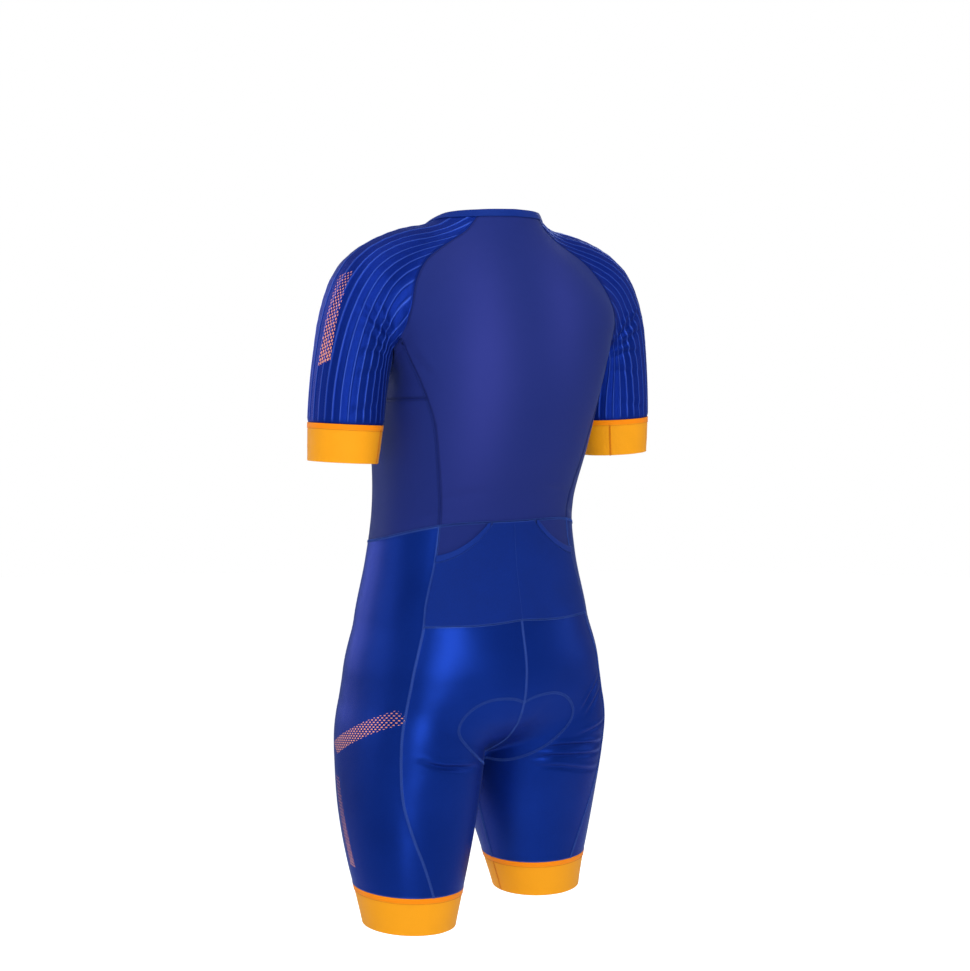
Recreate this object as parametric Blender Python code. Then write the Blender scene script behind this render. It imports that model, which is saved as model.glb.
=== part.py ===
"""Short-sleeved one-piece triathlon suit, worn form, built panel by panel.

Units are metres, +Z is up, the front faces -Y and the wearer's left is +X. The origin is the middle
of the neck opening, where the wearer's neck and shoulders hold the suit.

The suit is cut for a general figure. That figure is a smooth surface blended from trunk, arm and leg
sections, and it isn't built itself. Every seam is a curve on it, every panel is a grid stretched
between its seams, and a wall is the loft between that grid and the same grid one cloth further in.
"""
import math

import bmesh
import bpy
import numpy as np
from mathutils import Matrix
from mathutils.bvhtree import BVHTree

# ---------------------------------------------------------------- driving dimensions
WALL = 0.0012               # thickness of the cloth
SEAM_GAP = 0.0003           # space between two pieces at a seam
FOLDED_EXTRA = 0.0006       # how far a folded or doubled edge stands proud of single cloth
LAID_GAP = 0.0007           # space between a panel and what lies on it
NECK_FRONT_REACH = 0.0895   # from the origin to the neckline at the front
NECKBAND_HEIGHT = 0.008
NECKBAND_LIFT = 5.0         # degrees of pitch that give the way up the neck
ZIP_HALF_WIDTH = 0.0065     # from the middle of the zip to the front panel's edge
COIL_HALF_WIDTH = 0.0028
COIL_HEIGHT = 0.0011
SLIDER_Z = -0.058           # top of the zip's slider
SLIDER_WIDTH = 0.0070
SLIDER_LENGTH = 0.0090
SLIDER_THICKNESS = 0.0016
SLIDER_LIFT = 0.0008        # over the crest of the coil
EAR_WIDTH = 0.0010
EAR_REACH = 0.0026
PIN_RADIUS = 0.0005
PIN_CLEARANCE = 0.0001      # running fit of the pull's barrel on the pin
PIN_DROP = 0.0022           # the pin above the middle of the slider
BARREL_RADIUS = 0.0013
PULL_WIDTH = 0.0034
PULL_THICKNESS = 0.0010
PULL_LENGTH = 0.0220
ROD_SIDES = 16
RIB_COUNT = 30              # raised lines round one sleeve
RIB_HEIGHT = 0.0008
LEG_CUFF_HEIGHT = 0.046
SLEEVE_CUFF_HEIGHT = 0.047
CUFF_STRIP = 0.006          # doubled strip along the top of every cuff
POCKET_TAPE = 0.0085        # width of the binding of a pocket mouth
PAD_THICKNESS = 0.0030
PAD_GAP = 0.0022            # room between the pad and the walls it lies in
PAD_START_DEPTH = 0.006     # depth that is clear of every wall
PAD_ROUNDS = 12
STRIDE = 0.025              # how far the left leg stands behind and the right leg ahead, at the hem
SIDE_LEAN = 0.025           # how much lower the left side stands, for each metre out
RIGHT_HEM_TURN = 0.125      # how much the right hem drops towards its outer side, for each metre out

SHOULDER_BLEND = 0.026      # roundness of the join between trunk and arms
HIP_BLEND = 0.030           # roundness of the join between trunk and legs
CROTCH_BLEND = 0.018        # roundness of the saddle between the legs


def columns(names, rows):
    """A short table as named columns. Its rows run along the first column."""
    values = np.array(sorted(rows), float).T
    return dict(zip(names.split(), values))


# Sections of the trunk, from the neck down to where it closes between the legs.
TRUNK = columns("z half_width front back centre_y square", [
    (0.040, 0.066, 0.064, 0.062, 0.004, 2.0),
    (0.000, 0.070, 0.066, 0.066, 0.002, 2.0),
    (-0.030, 0.092, 0.076, 0.074, 0.000, 2.1),
    (-0.070, 0.140, 0.094, 0.092, -0.002, 2.5),
    (-0.120, 0.171, 0.108, 0.109, -0.004, 3.1),
    (-0.170, 0.164, 0.117, 0.115, -0.005, 3.1),
    (-0.225, 0.151, 0.118, 0.115, -0.006, 2.9),
    (-0.300, 0.143, 0.110, 0.106, -0.014, 2.5),
    (-0.385, 0.137, 0.100, 0.101, -0.034, 2.3),
    (-0.440, 0.143, 0.104, 0.108, -0.038, 2.3),
    (-0.515, 0.158, 0.110, 0.125, -0.040, 2.3),
    (-0.585, 0.164, 0.109, 0.136, -0.040, 2.3),
    (-0.620, 0.152, 0.102, 0.129, -0.040, 2.3),
    (-0.650, 0.128, 0.088, 0.110, -0.040, 2.2),
    (-0.672, 0.092, 0.066, 0.080, -0.040, 2.1),
    (-0.686, 0.050, 0.040, 0.044, -0.040, 2.0),
    (-0.694, 0.020, 0.020, 0.020, -0.040, 2.0),
])

# Sections of the left leg.
LEG = columns("z centre_x centre_y half_width front back square", [
    (-0.480, 0.080, -0.040, 0.020, 0.020, 0.020, 2.0),
    (-0.540, 0.084, -0.040, 0.064, 0.074, 0.084, 2.1),
    (-0.600, 0.090, -0.040, 0.082, 0.096, 0.108, 2.2),
    (-0.650, 0.094, -0.040, 0.090, 0.100, 0.112, 2.3),
    (-0.700, 0.097, -0.040, 0.0915, 0.098, 0.106, 2.3),
    (-0.760, 0.101, -0.040, 0.0895, 0.093, 0.096, 2.25),
    (-0.820, 0.106, -0.036, 0.0815, 0.085, 0.085, 2.1),
    (-0.860, 0.109, -0.032, 0.0730, 0.0760, 0.0760, 2.0),
    (-0.900, 0.112, -0.028, 0.0635, 0.0665, 0.0665, 2.0),
    (-0.940, 0.114, -0.026, 0.0580, 0.0610, 0.0610, 2.0),
])

# Middle line and radius of the left arm, from the root of the neck down past the sleeve's hem.
ARM = columns("place x y z radius", [
    (0, 0.030, 0.000, -0.052, 0.040),
    (1, 0.090, 0.000, -0.060, 0.047),
    (2, 0.130, 0.001, -0.073, 0.051),
    (3, 0.165, 0.003, -0.098, 0.0550),
    (4, 0.185, 0.004, -0.137, 0.0525),
    (5, 0.196, 0.003, -0.180, 0.0490),
    (6, 0.202, 0.001, -0.225, 0.0475),
    (7, 0.205, -0.001, -0.272, 0.0465),
    (8, 0.208, -0.003, -0.322, 0.0430),
    (9, 0.211, -0.005, -0.370, 0.0400),
])
ARM_STEPS = 27              # straight stretches that the arm's middle line is measured on
ARMPIT_TOP = -0.158         # trunk and sleeve part from here down
ARMPIT_OPEN = -0.196        # and are quite separate from here down
ARMPIT_CLEARANCE = 0.045
HOLLOW_DEPTH = 0.012        # the trunk's side is drawn in under the arm by this much
HOLLOW_CENTRE_Z = -0.197
HOLLOW_REACH = (0.040, 0.034)           # how far that hollow runs in Y and in Z

# Seams of the left half, as rough places that are then brought onto the figure.
NECK_CENTRE_Z = -0.050      # the neckline is seen from this point of the middle line, at these pitches
NECK_PITCH = columns("angle pitch", [(0, -4), (50, 13), (95, 30), (140, 33), (180, 34)])
FRONT_RAGLAN_ANGLE = 50     # where the raglan seams reach the neck, round from the front
BACK_RAGLAN_ANGLE = 139
BACK_RAGLAN = columns("place x y z", [
    (1, 0.064, 0.064, -0.012),
    (2, 0.089, 0.066, -0.026),
    (3, 0.120, 0.068, -0.050),
    (4, 0.142, 0.072, -0.082),
    (5, 0.158, 0.078, -0.130),
    (6, 0.161, 0.060, -0.166),
])
FRONT_RAGLAN = columns("place x y z", [
    (1, 0.072, -0.062, -0.050),
    (2, 0.098, -0.074, -0.072),
    (3, 0.125, -0.080, -0.100),
    (4, 0.147, -0.078, -0.134),
    (5, 0.158, -0.054, -0.166),
])
UNDERARM = columns("place x y z", [
    (1, 0.160, 0.044, -0.178),
    (2, 0.158, 0.022, -0.186),
    (3, 0.158, 0.000, -0.188),
    (4, 0.158, -0.022, -0.186),
    (5, 0.158, -0.042, -0.178),
])
# Seams down the trunk: angle round it from the front, at each height.
BACK_SIDE_SEAM = columns("z angle", [
    (-0.196, 115.5), (-0.220, 119), (-0.268, 124), (-0.350, 128), (-0.392, 129.5),
])
FRONT_SIDE_SEAM = columns("z angle", [
    (-0.196, 63), (-0.220, 58), (-0.268, 52), (-0.340, 47), (-0.420, 45),
])
# Seams down the leg: angle round the leg's own middle line, from the front.
BACK_LEG_SEAM = columns("z angle", [
    (-0.392, 139.4), (-0.441, 143.6), (-0.4855, 142.3), (-0.517, 143.7), (-0.585, 143.5),
    (-0.6435, 142.5), (-0.703, 145), (-0.734, 147), (-0.771, 153), (-0.8075, 162), (-0.862, 172),
])
FRONT_LEG_SEAM = columns("z angle", [
    (-0.420, 38), (-0.480, 36), (-0.560, 34), (-0.640, 34), (-0.720, 36), (-0.790, 40), (-0.862, 46),
])
HALF_MIDDLE = columns("z x", [(-0.380, 0.030), (-0.500, 0.052), (-0.600, 0.075), (-0.700, 0.094)])
WAIST_SEAM = columns("angle z", [(0, -0.420), (45, -0.420), (90, -0.411), (130, -0.393), (180, -0.391)])
HIP_SEAM = columns("angle z", [(130, -0.5155), (155, -0.5160), (180, -0.5130)])
GUSSET_SEAM_Z = -0.234
CROTCH_CENTRE = (-0.040, -0.600)        # y and z of a point inside, that the crotch seam goes round
CROTCH_LOW_ANGLE = -90                  # direction from there to the lowest point of the crotch
HEM_SEAM_Z = -0.848                     # top of the leg cuff at the leg's middle line
HEM_TILT = 0.095                        # the leg's lean, which tilts its hem
SLEEVE_SEAM_Z = -0.263                  # top of the sleeve cuff at the arm's middle line

# How far up the lower back each point of the pocket's mouth is, as a share of its height.
POCKET_MOUTH_LOW = 0.64
POCKET_MOUTH_STEPS = 4                  # columns of the lower back that the mouth's curve takes, each side
POCKET_TAPE_END = 0.312                 # where the binding runs under the waist seam
POCKET_MOUTH_POWER = 1.8

# Seat pad: lines across its left half, from its back end round under the crotch to its front end.
# Rows count up from the crotch along the panels' own lattice, and columns count out from the middle.
PAD = columns("place row_in row_out column_out", [
    (0, 5.0, 4.9, 1.6), (1, 4.5, 4.5, 2.6), (2, 4.0, 3.8, 2.8), (3, 3.0, 2.4, 2.7), (4, 2.0, 1.0, 2.3),
    (5, 1.0, -0.4, 1.4), (6, 0.0, -1.8, 0.0), (7, 1.0, -1.2, 1.2), (8, 2.0, 0.5, 1.9), (9, 3.0, 2.4, 2.0),
    (10, 4.0, 3.9, 2.0), (11, 5.0, 5.0, 1.2),
])
PAD_CROTCH_PLACE = 6

# Number of mesh steps along each stretch of seam.
STEPS_FRONT = 6
STEPS_SIDE = 8
STEPS_BACK = 12
STEPS_GUSSET = 3
STEPS_SIDE_SEAM = 7
STEPS_HIP = 5
STEPS_CROTCH_BACK = 7
STEPS_INSEAM = 7
STEPS_SEAT = STEPS_BACK // 2
STEPS_SLEEVE = 8
STEPS_PAD = (22, 5)
RIBS_BACK_RAGLAN = 9
RIBS_NECK = 5
RIBS_FRONT_RAGLAN = 8
RIBS_UNDERARM = RIB_COUNT - RIBS_BACK_RAGLAN - RIBS_NECK - RIBS_FRONT_RAGLAN

POCKET_MOUTH_RUN = POCKET_MOUTH_STEPS / STEPS_BACK

COLOURS = {                             # base colour, roughness, metallic
    "mesh": ((0.030, 0.040, 0.230), 0.75, 0.0),
    "lycra": ((0.010, 0.045, 0.270), 0.45, 0.0),
    "ribbed": ((0.010, 0.040, 0.300), 0.50, 0.0),
    "binding": ((0.020, 0.060, 0.320), 0.60, 0.0),
    "cuff": ((0.950, 0.360, 0.020), 0.65, 0.0),
    "pad": ((0.020, 0.025, 0.060), 0.90, 0.0),
    "zip": ((0.010, 0.030, 0.180), 0.40, 0.0),
    "metal": ((0.350, 0.350, 0.370), 0.30, 0.9),
}


# ---------------------------------------------------------------- curves and small vector helpers
def smooth(knots, values, at):
    """Values between knots, along a cubic that passes through every one of them."""
    at = np.clip(at, knots[0], knots[-1])
    slopes = np.gradient(values, knots)
    low = np.clip(np.searchsorted(knots, at) - 1, 0, len(knots) - 2)
    span = knots[low + 1] - knots[low]
    u = (at - knots[low]) / span
    start = (2 * u**3 - 3 * u**2 + 1) * values[low] + (u**3 - 2 * u**2 + u) * span * slopes[low]
    end = (3 * u**2 - 2 * u**3) * values[low + 1] + (u**3 - u**2) * span * slopes[low + 1]
    return start + end


def read(table, name, at):
    """One column of a table at given places along its first column."""
    first = next(iter(table))
    return smooth(table[first], table[name], at)


def ramp(value, start, end):
    """0 at start and 1 at end, with a soft turn at both."""
    u = np.clip((value - start) / (end - start), 0, 1)
    return u * u * (3 - 2 * u)


def unit(vectors):
    return vectors / np.maximum(np.linalg.norm(vectors, axis=-1, keepdims=True), 1e-12)


def spaced(points, steps):
    """The curve through rough points, cut into equal steps along its length."""
    points = np.asarray(points, float)
    knots = np.arange(len(points), dtype=float)
    fine = np.linspace(0, len(points) - 1, 400)
    curve = np.stack([smooth(knots, points[:, axis], fine) for axis in range(3)], axis=1)
    length = np.concatenate([[0], np.cumsum(np.linalg.norm(np.diff(curve, axis=0), axis=1))])
    at = np.linspace(0, length[-1], steps + 1)
    return np.stack([np.interp(at, length, curve[:, axis]) for axis in range(3)], axis=1)


def table_points(table):
    return np.stack([table["x"], table["y"], table["z"]], axis=1)


# ---------------------------------------------------------------- the figure
def blend(a, b, width):
    """Smaller of two distances, rounded where they are close."""
    share = np.clip(0.5 + 0.5 * (b - a) / width, 0, 1)
    return b + (a - b) * share - width * share * (1 - share)


def ring_distance(dx, dy, half_width, front, back, square):
    """Distance from a rounded section, measured outwards from its middle."""
    dx = np.where(np.abs(dx) + np.abs(dy) < 1e-6, 1e-6, dx)
    depth = np.where(dy < 0, front, back)
    reach = np.hypot(dx, dy) + 1e-9
    level = (np.abs(dx) / half_width) ** square + (np.abs(dy) / depth) ** square
    return reach - reach / np.maximum(level, 1e-12) ** (1 / square)


def past_end(table, z):
    """How far a height lies outside a table's rows."""
    return np.maximum(0, table["z"][0] - z) + np.maximum(0, z - table["z"][-1])


def trunk_distance(p):
    row = {name: read(TRUNK, name, p[..., 2]) for name in TRUNK if name != "z"}
    across, down = p[..., 1] / HOLLOW_REACH[0], (p[..., 2] - HOLLOW_CENTRE_Z) / HOLLOW_REACH[1]
    hollow = HOLLOW_DEPTH * np.exp(-across**2 - down**2) * ramp(np.abs(p[..., 0]), 0.06, 0.13)
    return hollow + past_end(TRUNK, p[..., 2]) + ring_distance(
        p[..., 0], p[..., 1] - row["centre_y"], row["half_width"], row["front"], row["back"], row["square"])


def leg_distance(p, side):
    row = {name: read(LEG, name, p[..., 2]) for name in LEG if name != "z"}
    return past_end(LEG, p[..., 2]) + ring_distance(
        p[..., 0] * side - row["centre_x"], p[..., 1] - row["centre_y"],
        row["half_width"], row["front"], row["back"], row["square"])


ARM_PLACES = np.linspace(0, len(ARM["place"]) - 1, ARM_STEPS + 1)
ARM_LINE = np.stack([read(ARM, axis, ARM_PLACES) for axis in "xyz"], axis=1)
ARM_RADII = read(ARM, "radius", ARM_PLACES)


def arm_distance(p):
    """Distance from the nearer arm, which is a tube round its middle line."""
    p = np.concatenate([np.abs(p[..., :1]), p[..., 1:]], axis=-1)
    nearest = np.full(p.shape[:-1], 1.0)
    for step in range(ARM_STEPS):
        start, along = ARM_LINE[step], ARM_LINE[step + 1] - ARM_LINE[step]
        u = np.clip((p - start) @ along / (along @ along), 0, 1)
        radius = ARM_RADII[step] + u * (ARM_RADII[step + 1] - ARM_RADII[step])
        away = np.linalg.norm(p - start - u[..., None] * along, axis=-1) - radius
        nearest = np.minimum(nearest, away)
    return nearest


def figure(p, part="trunk"):
    """Distance from the figure. Below the armpit a part leaves out what hangs beside it."""
    trunk, arm = trunk_distance(p), arm_distance(p)
    apart = ARMPIT_CLEARANCE * ramp(-p[..., 2], -ARMPIT_TOP, -ARMPIT_OPEN)
    if part == "sleeve":
        return blend(trunk + apart, arm, SHOULDER_BLEND)
    legs = blend(leg_distance(p, 1), leg_distance(p, -1), CROTCH_BLEND)
    return blend(blend(trunk, legs, HIP_BLEND), arm + apart, SHOULDER_BLEND)


def slope(p, part="trunk"):
    """How fast the distance grows along each axis."""
    small = 0.0004
    grown = [figure(p + small * axis, part) - figure(p - small * axis, part) for axis in np.eye(3)]
    return np.stack(grown, axis=-1) / (2 * small)


def onto(p, parts=("trunk",), rounds=14):
    """Points brought onto the figure the shortest way, or onto the curve where two parts meet."""
    p = np.array(p, float)
    for _ in range(rounds * len(parts)):
        for part in parts:
            grown = slope(p, part)
            steep = np.maximum((grown**2).sum(-1, keepdims=True), 0.05)
            p = p - np.clip(figure(p, part)[..., None] * grown / steep, -0.02, 0.02)
    return p


# ---------------------------------------------------------------- coordinates round a middle line
def round_trunk(points):
    y = points[..., 1] - read(TRUNK, "centre_y", points[..., 2])
    return np.stack([np.arctan2(points[..., 0], -y), points[..., 2], np.hypot(points[..., 0], y)], axis=-1)


def from_trunk(places):
    angle, z, radius = places[..., 0], places[..., 1], places[..., 2]
    centre = read(TRUNK, "centre_y", z)
    return np.stack([radius * np.sin(angle), centre - radius * np.cos(angle), z], axis=-1)


def half_middle(z):
    """Middle line of the left half of the shorts, which becomes the leg's middle line."""
    leg = read(LEG, "centre_x", z)
    above = read(HALF_MIDDLE, "x", z)
    share = ramp(-z, 0.690, 0.710)
    return above + (leg - above) * share, read(LEG, "centre_y", z)


def round_leg(points):
    x, y = half_middle(points[..., 2])
    dx, dy = points[..., 0] - x, points[..., 1] - y
    angle = np.arctan2(dx, -dy)
    return np.stack([angle, points[..., 2], np.hypot(dx, dy)], axis=-1)


def from_leg(places):
    angle, z, radius = places[..., 0], places[..., 1], places[..., 2]
    x, y = half_middle(z)
    return np.stack([x + radius * np.sin(angle), y - radius * np.cos(angle), z], axis=-1)


def arm_frame(place):
    """A point of the arm's middle line, the way along it, and the way out across it."""
    point = np.stack([read(ARM, axis, place) for axis in "xyz"], axis=-1)
    ahead = np.stack([read(ARM, axis, place + 0.02) for axis in "xyz"], axis=-1)
    behind = np.stack([read(ARM, axis, place - 0.02) for axis in "xyz"], axis=-1)
    along = unit(ahead - behind)
    fore = np.broadcast_to(np.array([0.0, 1.0, 0.0]), along.shape)
    out = unit(np.cross(fore, along))
    return point, along, -out


def round_arm(points):
    """Place along the arm, angle round it (0 outwards and up, 90 degrees to the back), radius."""
    places = np.linspace(0, len(ARM["place"]) - 1, 361)
    line, along, _ = arm_frame(places)
    flat = points.reshape(-1, 3)
    result = []
    for point in flat:
        ahead = ((point - line) * along).sum(-1)
        crossing = np.nonzero((ahead[:-1] > 0) & (ahead[1:] <= 0))[0]
        if len(crossing) == 0:
            place = places[0] if ahead[0] <= 0 else places[-1]
        else:
            best = min(crossing, key=lambda k: np.linalg.norm(point - line[k]))
            share = ahead[best] / (ahead[best] - ahead[best + 1])
            place = places[best] + share * (places[best + 1] - places[best])
        middle, _, out = arm_frame(np.array(place))
        away = point - middle
        result.append((place, math.atan2(away[1], away @ out), np.linalg.norm(away)))
    return np.array(result).reshape(points.shape)


def from_arm(places):
    middle, along, out = arm_frame(places[..., 0])
    fore = unit(np.cross(along, out))
    fore = fore * np.sign(fore[..., 1:2])
    angle, radius = places[..., 1:2], places[..., 2:3]
    return middle + radius * (np.cos(angle) * out + np.sin(angle) * fore)


# ---------------------------------------------------------------- seams of the left half
def ring_at(angles, heights):
    """Points of the trunk's surface at given angles and heights."""
    angles = np.radians(angles)
    places = np.stack([angles, heights, np.full(len(angles), 0.13)], axis=-1)
    return hold_height(places, from_trunk)


def leg_ring_at(angles, heights):
    angles = np.radians(angles)
    places = np.stack([angles, heights, np.full(len(angles), 0.09)], axis=-1)
    return hold_height(places, from_leg)


def hold_height(places, back):
    """Radius found by halving, so that a point keeps its angle and height."""
    probe = np.linspace(0.01, 0.30, 59)
    inside = np.stack([figure(back(with_radius(places, r))) < 0 for r in probe])
    first = np.argmin(inside, axis=0)
    high = probe[first]
    low = probe[np.maximum(first - 1, 0)]
    for _ in range(26):
        middle = (low + high) / 2
        within = figure(back(with_radius(places, middle))) < 0
        low = np.where(within, middle, low)
        high = np.where(within, high, middle)
    return back(with_radius(places, high))


def with_radius(places, radius):
    result = places.copy()
    result[..., 2] = radius
    return result


def cast(origin, toward, reach):
    """Points where rays from inside the figure first leave it."""
    toward = unit(toward)
    probe = np.linspace(0.005, reach, 60)
    inside = np.stack([figure(origin + step * toward) < 0 for step in probe])
    first = np.argmin(inside, axis=0)
    low, high = probe[np.maximum(first - 1, 0)], probe[first]
    for _ in range(26):
        middle = (low + high) / 2
        within = figure(origin + middle[:, None] * toward) < 0
        low, high = np.where(within, middle, low), np.where(within, high, middle)
    return origin + high[:, None] * toward


def neckline(angles, lift=0.0):
    """Points of the neckline at angles round it, or a little above it along the figure."""
    angles = np.asarray(angles, float)
    turned = np.radians(angles)
    from_front = np.abs((angles + 180) % 360 - 180)
    pitch = np.radians(read(NECK_PITCH, "pitch", from_front) + lift)
    toward = np.stack([np.sin(turned), -np.cos(turned), np.tan(pitch)], axis=-1)
    return cast(np.array([0.0, 0.0, NECK_CENTRE_Z]), toward, 0.16)


def crotch_line(angles):
    """Points of the middle plane, in given directions from the crotch centre."""
    angles = np.radians(np.asarray(angles, float))
    toward = np.stack([np.zeros(len(angles)), np.cos(angles), np.sin(angles)], axis=-1)
    return cast(np.array([0.0, CROTCH_CENTRE[0], CROTCH_CENTRE[1]]), toward, 0.26)


def angle_of(point):
    """Direction from the crotch centre to a point of the middle plane, in degrees."""
    return math.degrees(math.atan2(point[2] - CROTCH_CENTRE[1], point[1] - CROTCH_CENTRE[0]))


def all_seams():
    """Every seam of the left half, each cut into its own number of steps."""
    seams = {}
    neck_front, neck_back = neckline([FRONT_RAGLAN_ANGLE])[0], neckline([BACK_RAGLAN_ANGLE])[0]
    both = ("trunk", "sleeve")
    back_rough = onto(np.vstack([[neck_back], table_points(BACK_RAGLAN)]), both, 8)
    front_rough = onto(np.vstack([[neck_front], table_points(FRONT_RAGLAN)]), both, 8)
    under_rough = onto(table_points(UNDERARM), both, 30)
    back_corner, front_corner = back_rough[-1], front_rough[-1]
    under_rough = np.vstack([[back_corner], under_rough, [front_corner]])
    seams["back_raglan"] = onto(spaced(back_rough, RIBS_BACK_RAGLAN), both, 8)
    seams["front_raglan"] = onto(spaced(front_rough, RIBS_FRONT_RAGLAN), both, 8)
    seams["underarm"] = onto(spaced(under_rough, RIBS_UNDERARM), both, 30)

    # The back side seam and the front side seam, cut where the gusset's lower seam meets them.
    for name, table, corner in (("back_side", BACK_SIDE_SEAM, back_corner),
                                ("front_side", FRONT_SIDE_SEAM, front_corner)):
        rough = np.vstack([[corner], ring_at(table["angle"][::-1], table["z"][::-1])])
        dense = spaced(rough, 200)
        at = int(np.argmin(np.abs(dense[:, 2] - GUSSET_SEAM_Z)))
        seams[name + "_gusset"] = onto(spaced(dense[: at + 1], STEPS_GUSSET))
        seams[name] = onto(spaced(dense[at:], STEPS_SIDE_SEAM))
        seams[name][0] = seams[name + "_gusset"][-1]

    # The waist seam: middle front, zip's edge, front side seam, back side seam, round to the right.
    front_angle = math.degrees(round_trunk(seams["front_side"][-1])[0])
    back_angle = math.degrees(round_trunk(seams["back_side"][-1])[0])
    zip_angle = math.degrees(math.asin(ZIP_HALF_WIDTH / 0.135))
    stretches = (("waist_zip", 0, zip_angle, 1), ("waist_front", zip_angle, front_angle, STEPS_FRONT),
                 ("waist_side", front_angle, back_angle, STEPS_SIDE),
                 ("waist_back", back_angle, 360 - back_angle, STEPS_BACK))
    for name, start, end, steps in stretches:
        angles = np.linspace(start, end, steps + 1)
        heights = read(WAIST_SEAM, "z", np.where(angles > 180, 360 - angles, angles))
        seams[name] = ring_at(angles, heights)
    seams["back_side"][-1] = seams["waist_side"][-1]
    seams["front_side"][-1] = seams["waist_front"][-1]

    # Down the zip's edge, at a constant distance from the middle.
    zip_rows = STEPS_SIDE_SEAM + STEPS_GUSSET + RIBS_FRONT_RAGLAN
    neck_angle = math.degrees(math.asin(ZIP_HALF_WIDTH / NECK_FRONT_REACH))
    seams["neck_zip_angle"] = neck_angle
    top = neckline([neck_angle])[0]
    heights = np.linspace(top[2], seams["waist_front"][0][2], zip_rows + 1)
    for name, x in (("zip_edge", ZIP_HALF_WIDTH), ("coil_edge", COIL_HALF_WIDTH), ("zip_middle", 0.0)):
        rough = np.stack([np.full(zip_rows + 1, x), np.full(zip_rows + 1, -0.12), heights], axis=-1)
        seams[name] = front_at(rough)
    seams["zip_edge"][-1] = seams["waist_front"][0]
    seams["zip_edge"][0] = top

    # Legs: side seams from the waist to the hem seam, crotch seam and inseam.
    hip_angle_back = 130.0
    for name, table, top in (("back_leg", BACK_LEG_SEAM, seams["waist_side"][-1]),
                             ("front_leg", FRONT_LEG_SEAM, seams["waist_front"][-1])):
        rough = leg_ring_at(table["angle"][::-1], table["z"][::-1])
        rough[0] = top
        end_angle = math.degrees(round_leg(rough[-1])[0])
        rough[-1] = hem_points([end_angle], HEM_SEAM_Z)[0]
        dense = spaced(rough, 300)
        if name == "back_leg":
            at = int(np.argmin(np.abs(dense[:, 2] - read(HIP_SEAM, "z", hip_angle_back))))
            seams["back_hip"] = onto(spaced(dense[: at + 1], STEPS_HIP))
            seams["back_leg"] = onto(spaced(dense[at:], STEPS_CROTCH_BACK + STEPS_INSEAM))
            seams["back_leg"][0] = seams["back_hip"][-1]
            seams["back_hip"][0] = top
        else:
            rows = STEPS_HIP + STEPS_CROTCH_BACK + STEPS_INSEAM
            seams["front_leg"] = onto(spaced(dense, rows))
            seams["front_leg"][0] = top
        seams[name][-1] = rough[-1]
    corner = seams["back_leg"][0]
    hip_start = math.degrees(round_trunk(corner)[0])
    angles = np.linspace(hip_start, 360 - hip_start, STEPS_BACK + 1)
    mirrored = np.where(angles > 180, 360 - angles, angles)
    heights = read(HIP_SEAM, "z", mirrored) + corner[2] - read(HIP_SEAM, "z", hip_start)
    seams["hip"] = ring_at(angles, heights)
    seams["hip"][0] = corner
    seams["hip"][-1] = corner * [-1, 1, 1]

    hip_middle = seams["hip"][STEPS_BACK // 2]
    waist_middle = seams["waist_zip"][0]
    seams["crotch_back"] = crotch_line(np.linspace(angle_of(hip_middle), CROTCH_LOW_ANGLE,
                                                   STEPS_CROTCH_BACK + 1))
    front_steps = STEPS_HIP + STEPS_CROTCH_BACK
    front_start = angle_of(waist_middle) - 360
    seams["crotch_front"] = crotch_line(np.linspace(front_start, CROTCH_LOW_ANGLE, front_steps + 1))
    low = seams["crotch_back"][-1]
    end = hem_points([-90], HEM_SEAM_Z)[0]
    heights = np.linspace(low[2], end[2], STEPS_INSEAM + 1)[1:]
    inseam = leg_ring_at(np.full(STEPS_INSEAM, -90.0), heights)
    seams["inseam"] = np.vstack([[low], inseam])
    seams["inseam"][-1] = end

    # The hem seam round the leg: seat panel, side panel and front panel, in one turn.
    back_angle = math.degrees(round_leg(seams["back_leg"][-1])[0])
    front_angle = math.degrees(round_leg(seams["front_leg"][-1])[0])
    seams["hem_angles"] = np.concatenate([
        np.linspace(-90, front_angle, STEPS_FRONT + 2),
        np.linspace(front_angle, back_angle, STEPS_SIDE + 1)[1:],
        np.linspace(back_angle, 270, STEPS_SEAT + 1)[1:]])
    return seams


def front_at(rough):
    """Points of the front that keep their distance from the middle and their height."""
    low, high = np.full(len(rough), 0.0), np.full(len(rough), 0.2)
    for _ in range(30):
        middle = (low + high) / 2
        probe = rough * [1, 0, 1] - middle[:, None] * np.array([0.0, 1.0, 0.0])
        within = figure(probe) < 0
        low, high = np.where(within, middle, low), np.where(within, high, middle)
    return rough * [1, 0, 1] - high[:, None] * np.array([0.0, 1.0, 0.0])


def hem_points(angles, middle_z):
    """Points round the leg where a plane across its middle line meets it."""
    angles = np.asarray(angles, float)
    heights = np.full(len(angles), middle_z)
    for _ in range(6):
        ring = leg_ring_at(angles, heights)
        heights = middle_z + HEM_TILT * (ring[:, 0] - read(LEG, "centre_x", middle_z))
    return leg_ring_at(angles, heights)


# ---------------------------------------------------------------- panels
def between(top, bottom, left, right, forward, back):
    """Grid between four seams, laid round a middle line and brought onto the figure."""
    sides = [forward(np.asarray(side)) for side in (top, bottom, left, right)]
    for side in sides:
        side[:, 0] = np.unwrap(side[:, 0])
        side[:, 0] += 2 * math.pi * np.round((sides[0][0, 0] - side[0, 0]) / (2 * math.pi))
    top_, bottom_, left_, right_ = sides
    u = np.linspace(0, 1, len(top_))[None, :, None]
    v = np.linspace(0, 1, len(left_))[:, None, None]
    ruled = (1 - v) * top_[None] + v * bottom_[None] + (1 - u) * left_[:, None] + u * right_[:, None]
    corners = ((1 - u) * (1 - v) * top_[0] + u * (1 - v) * top_[-1]
               + (1 - u) * v * bottom_[0] + u * v * bottom_[-1])
    grid = onto(back(ruled - corners))
    grid[0], grid[-1], grid[:, 0], grid[:, -1] = top, bottom, left, right
    return grid


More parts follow.
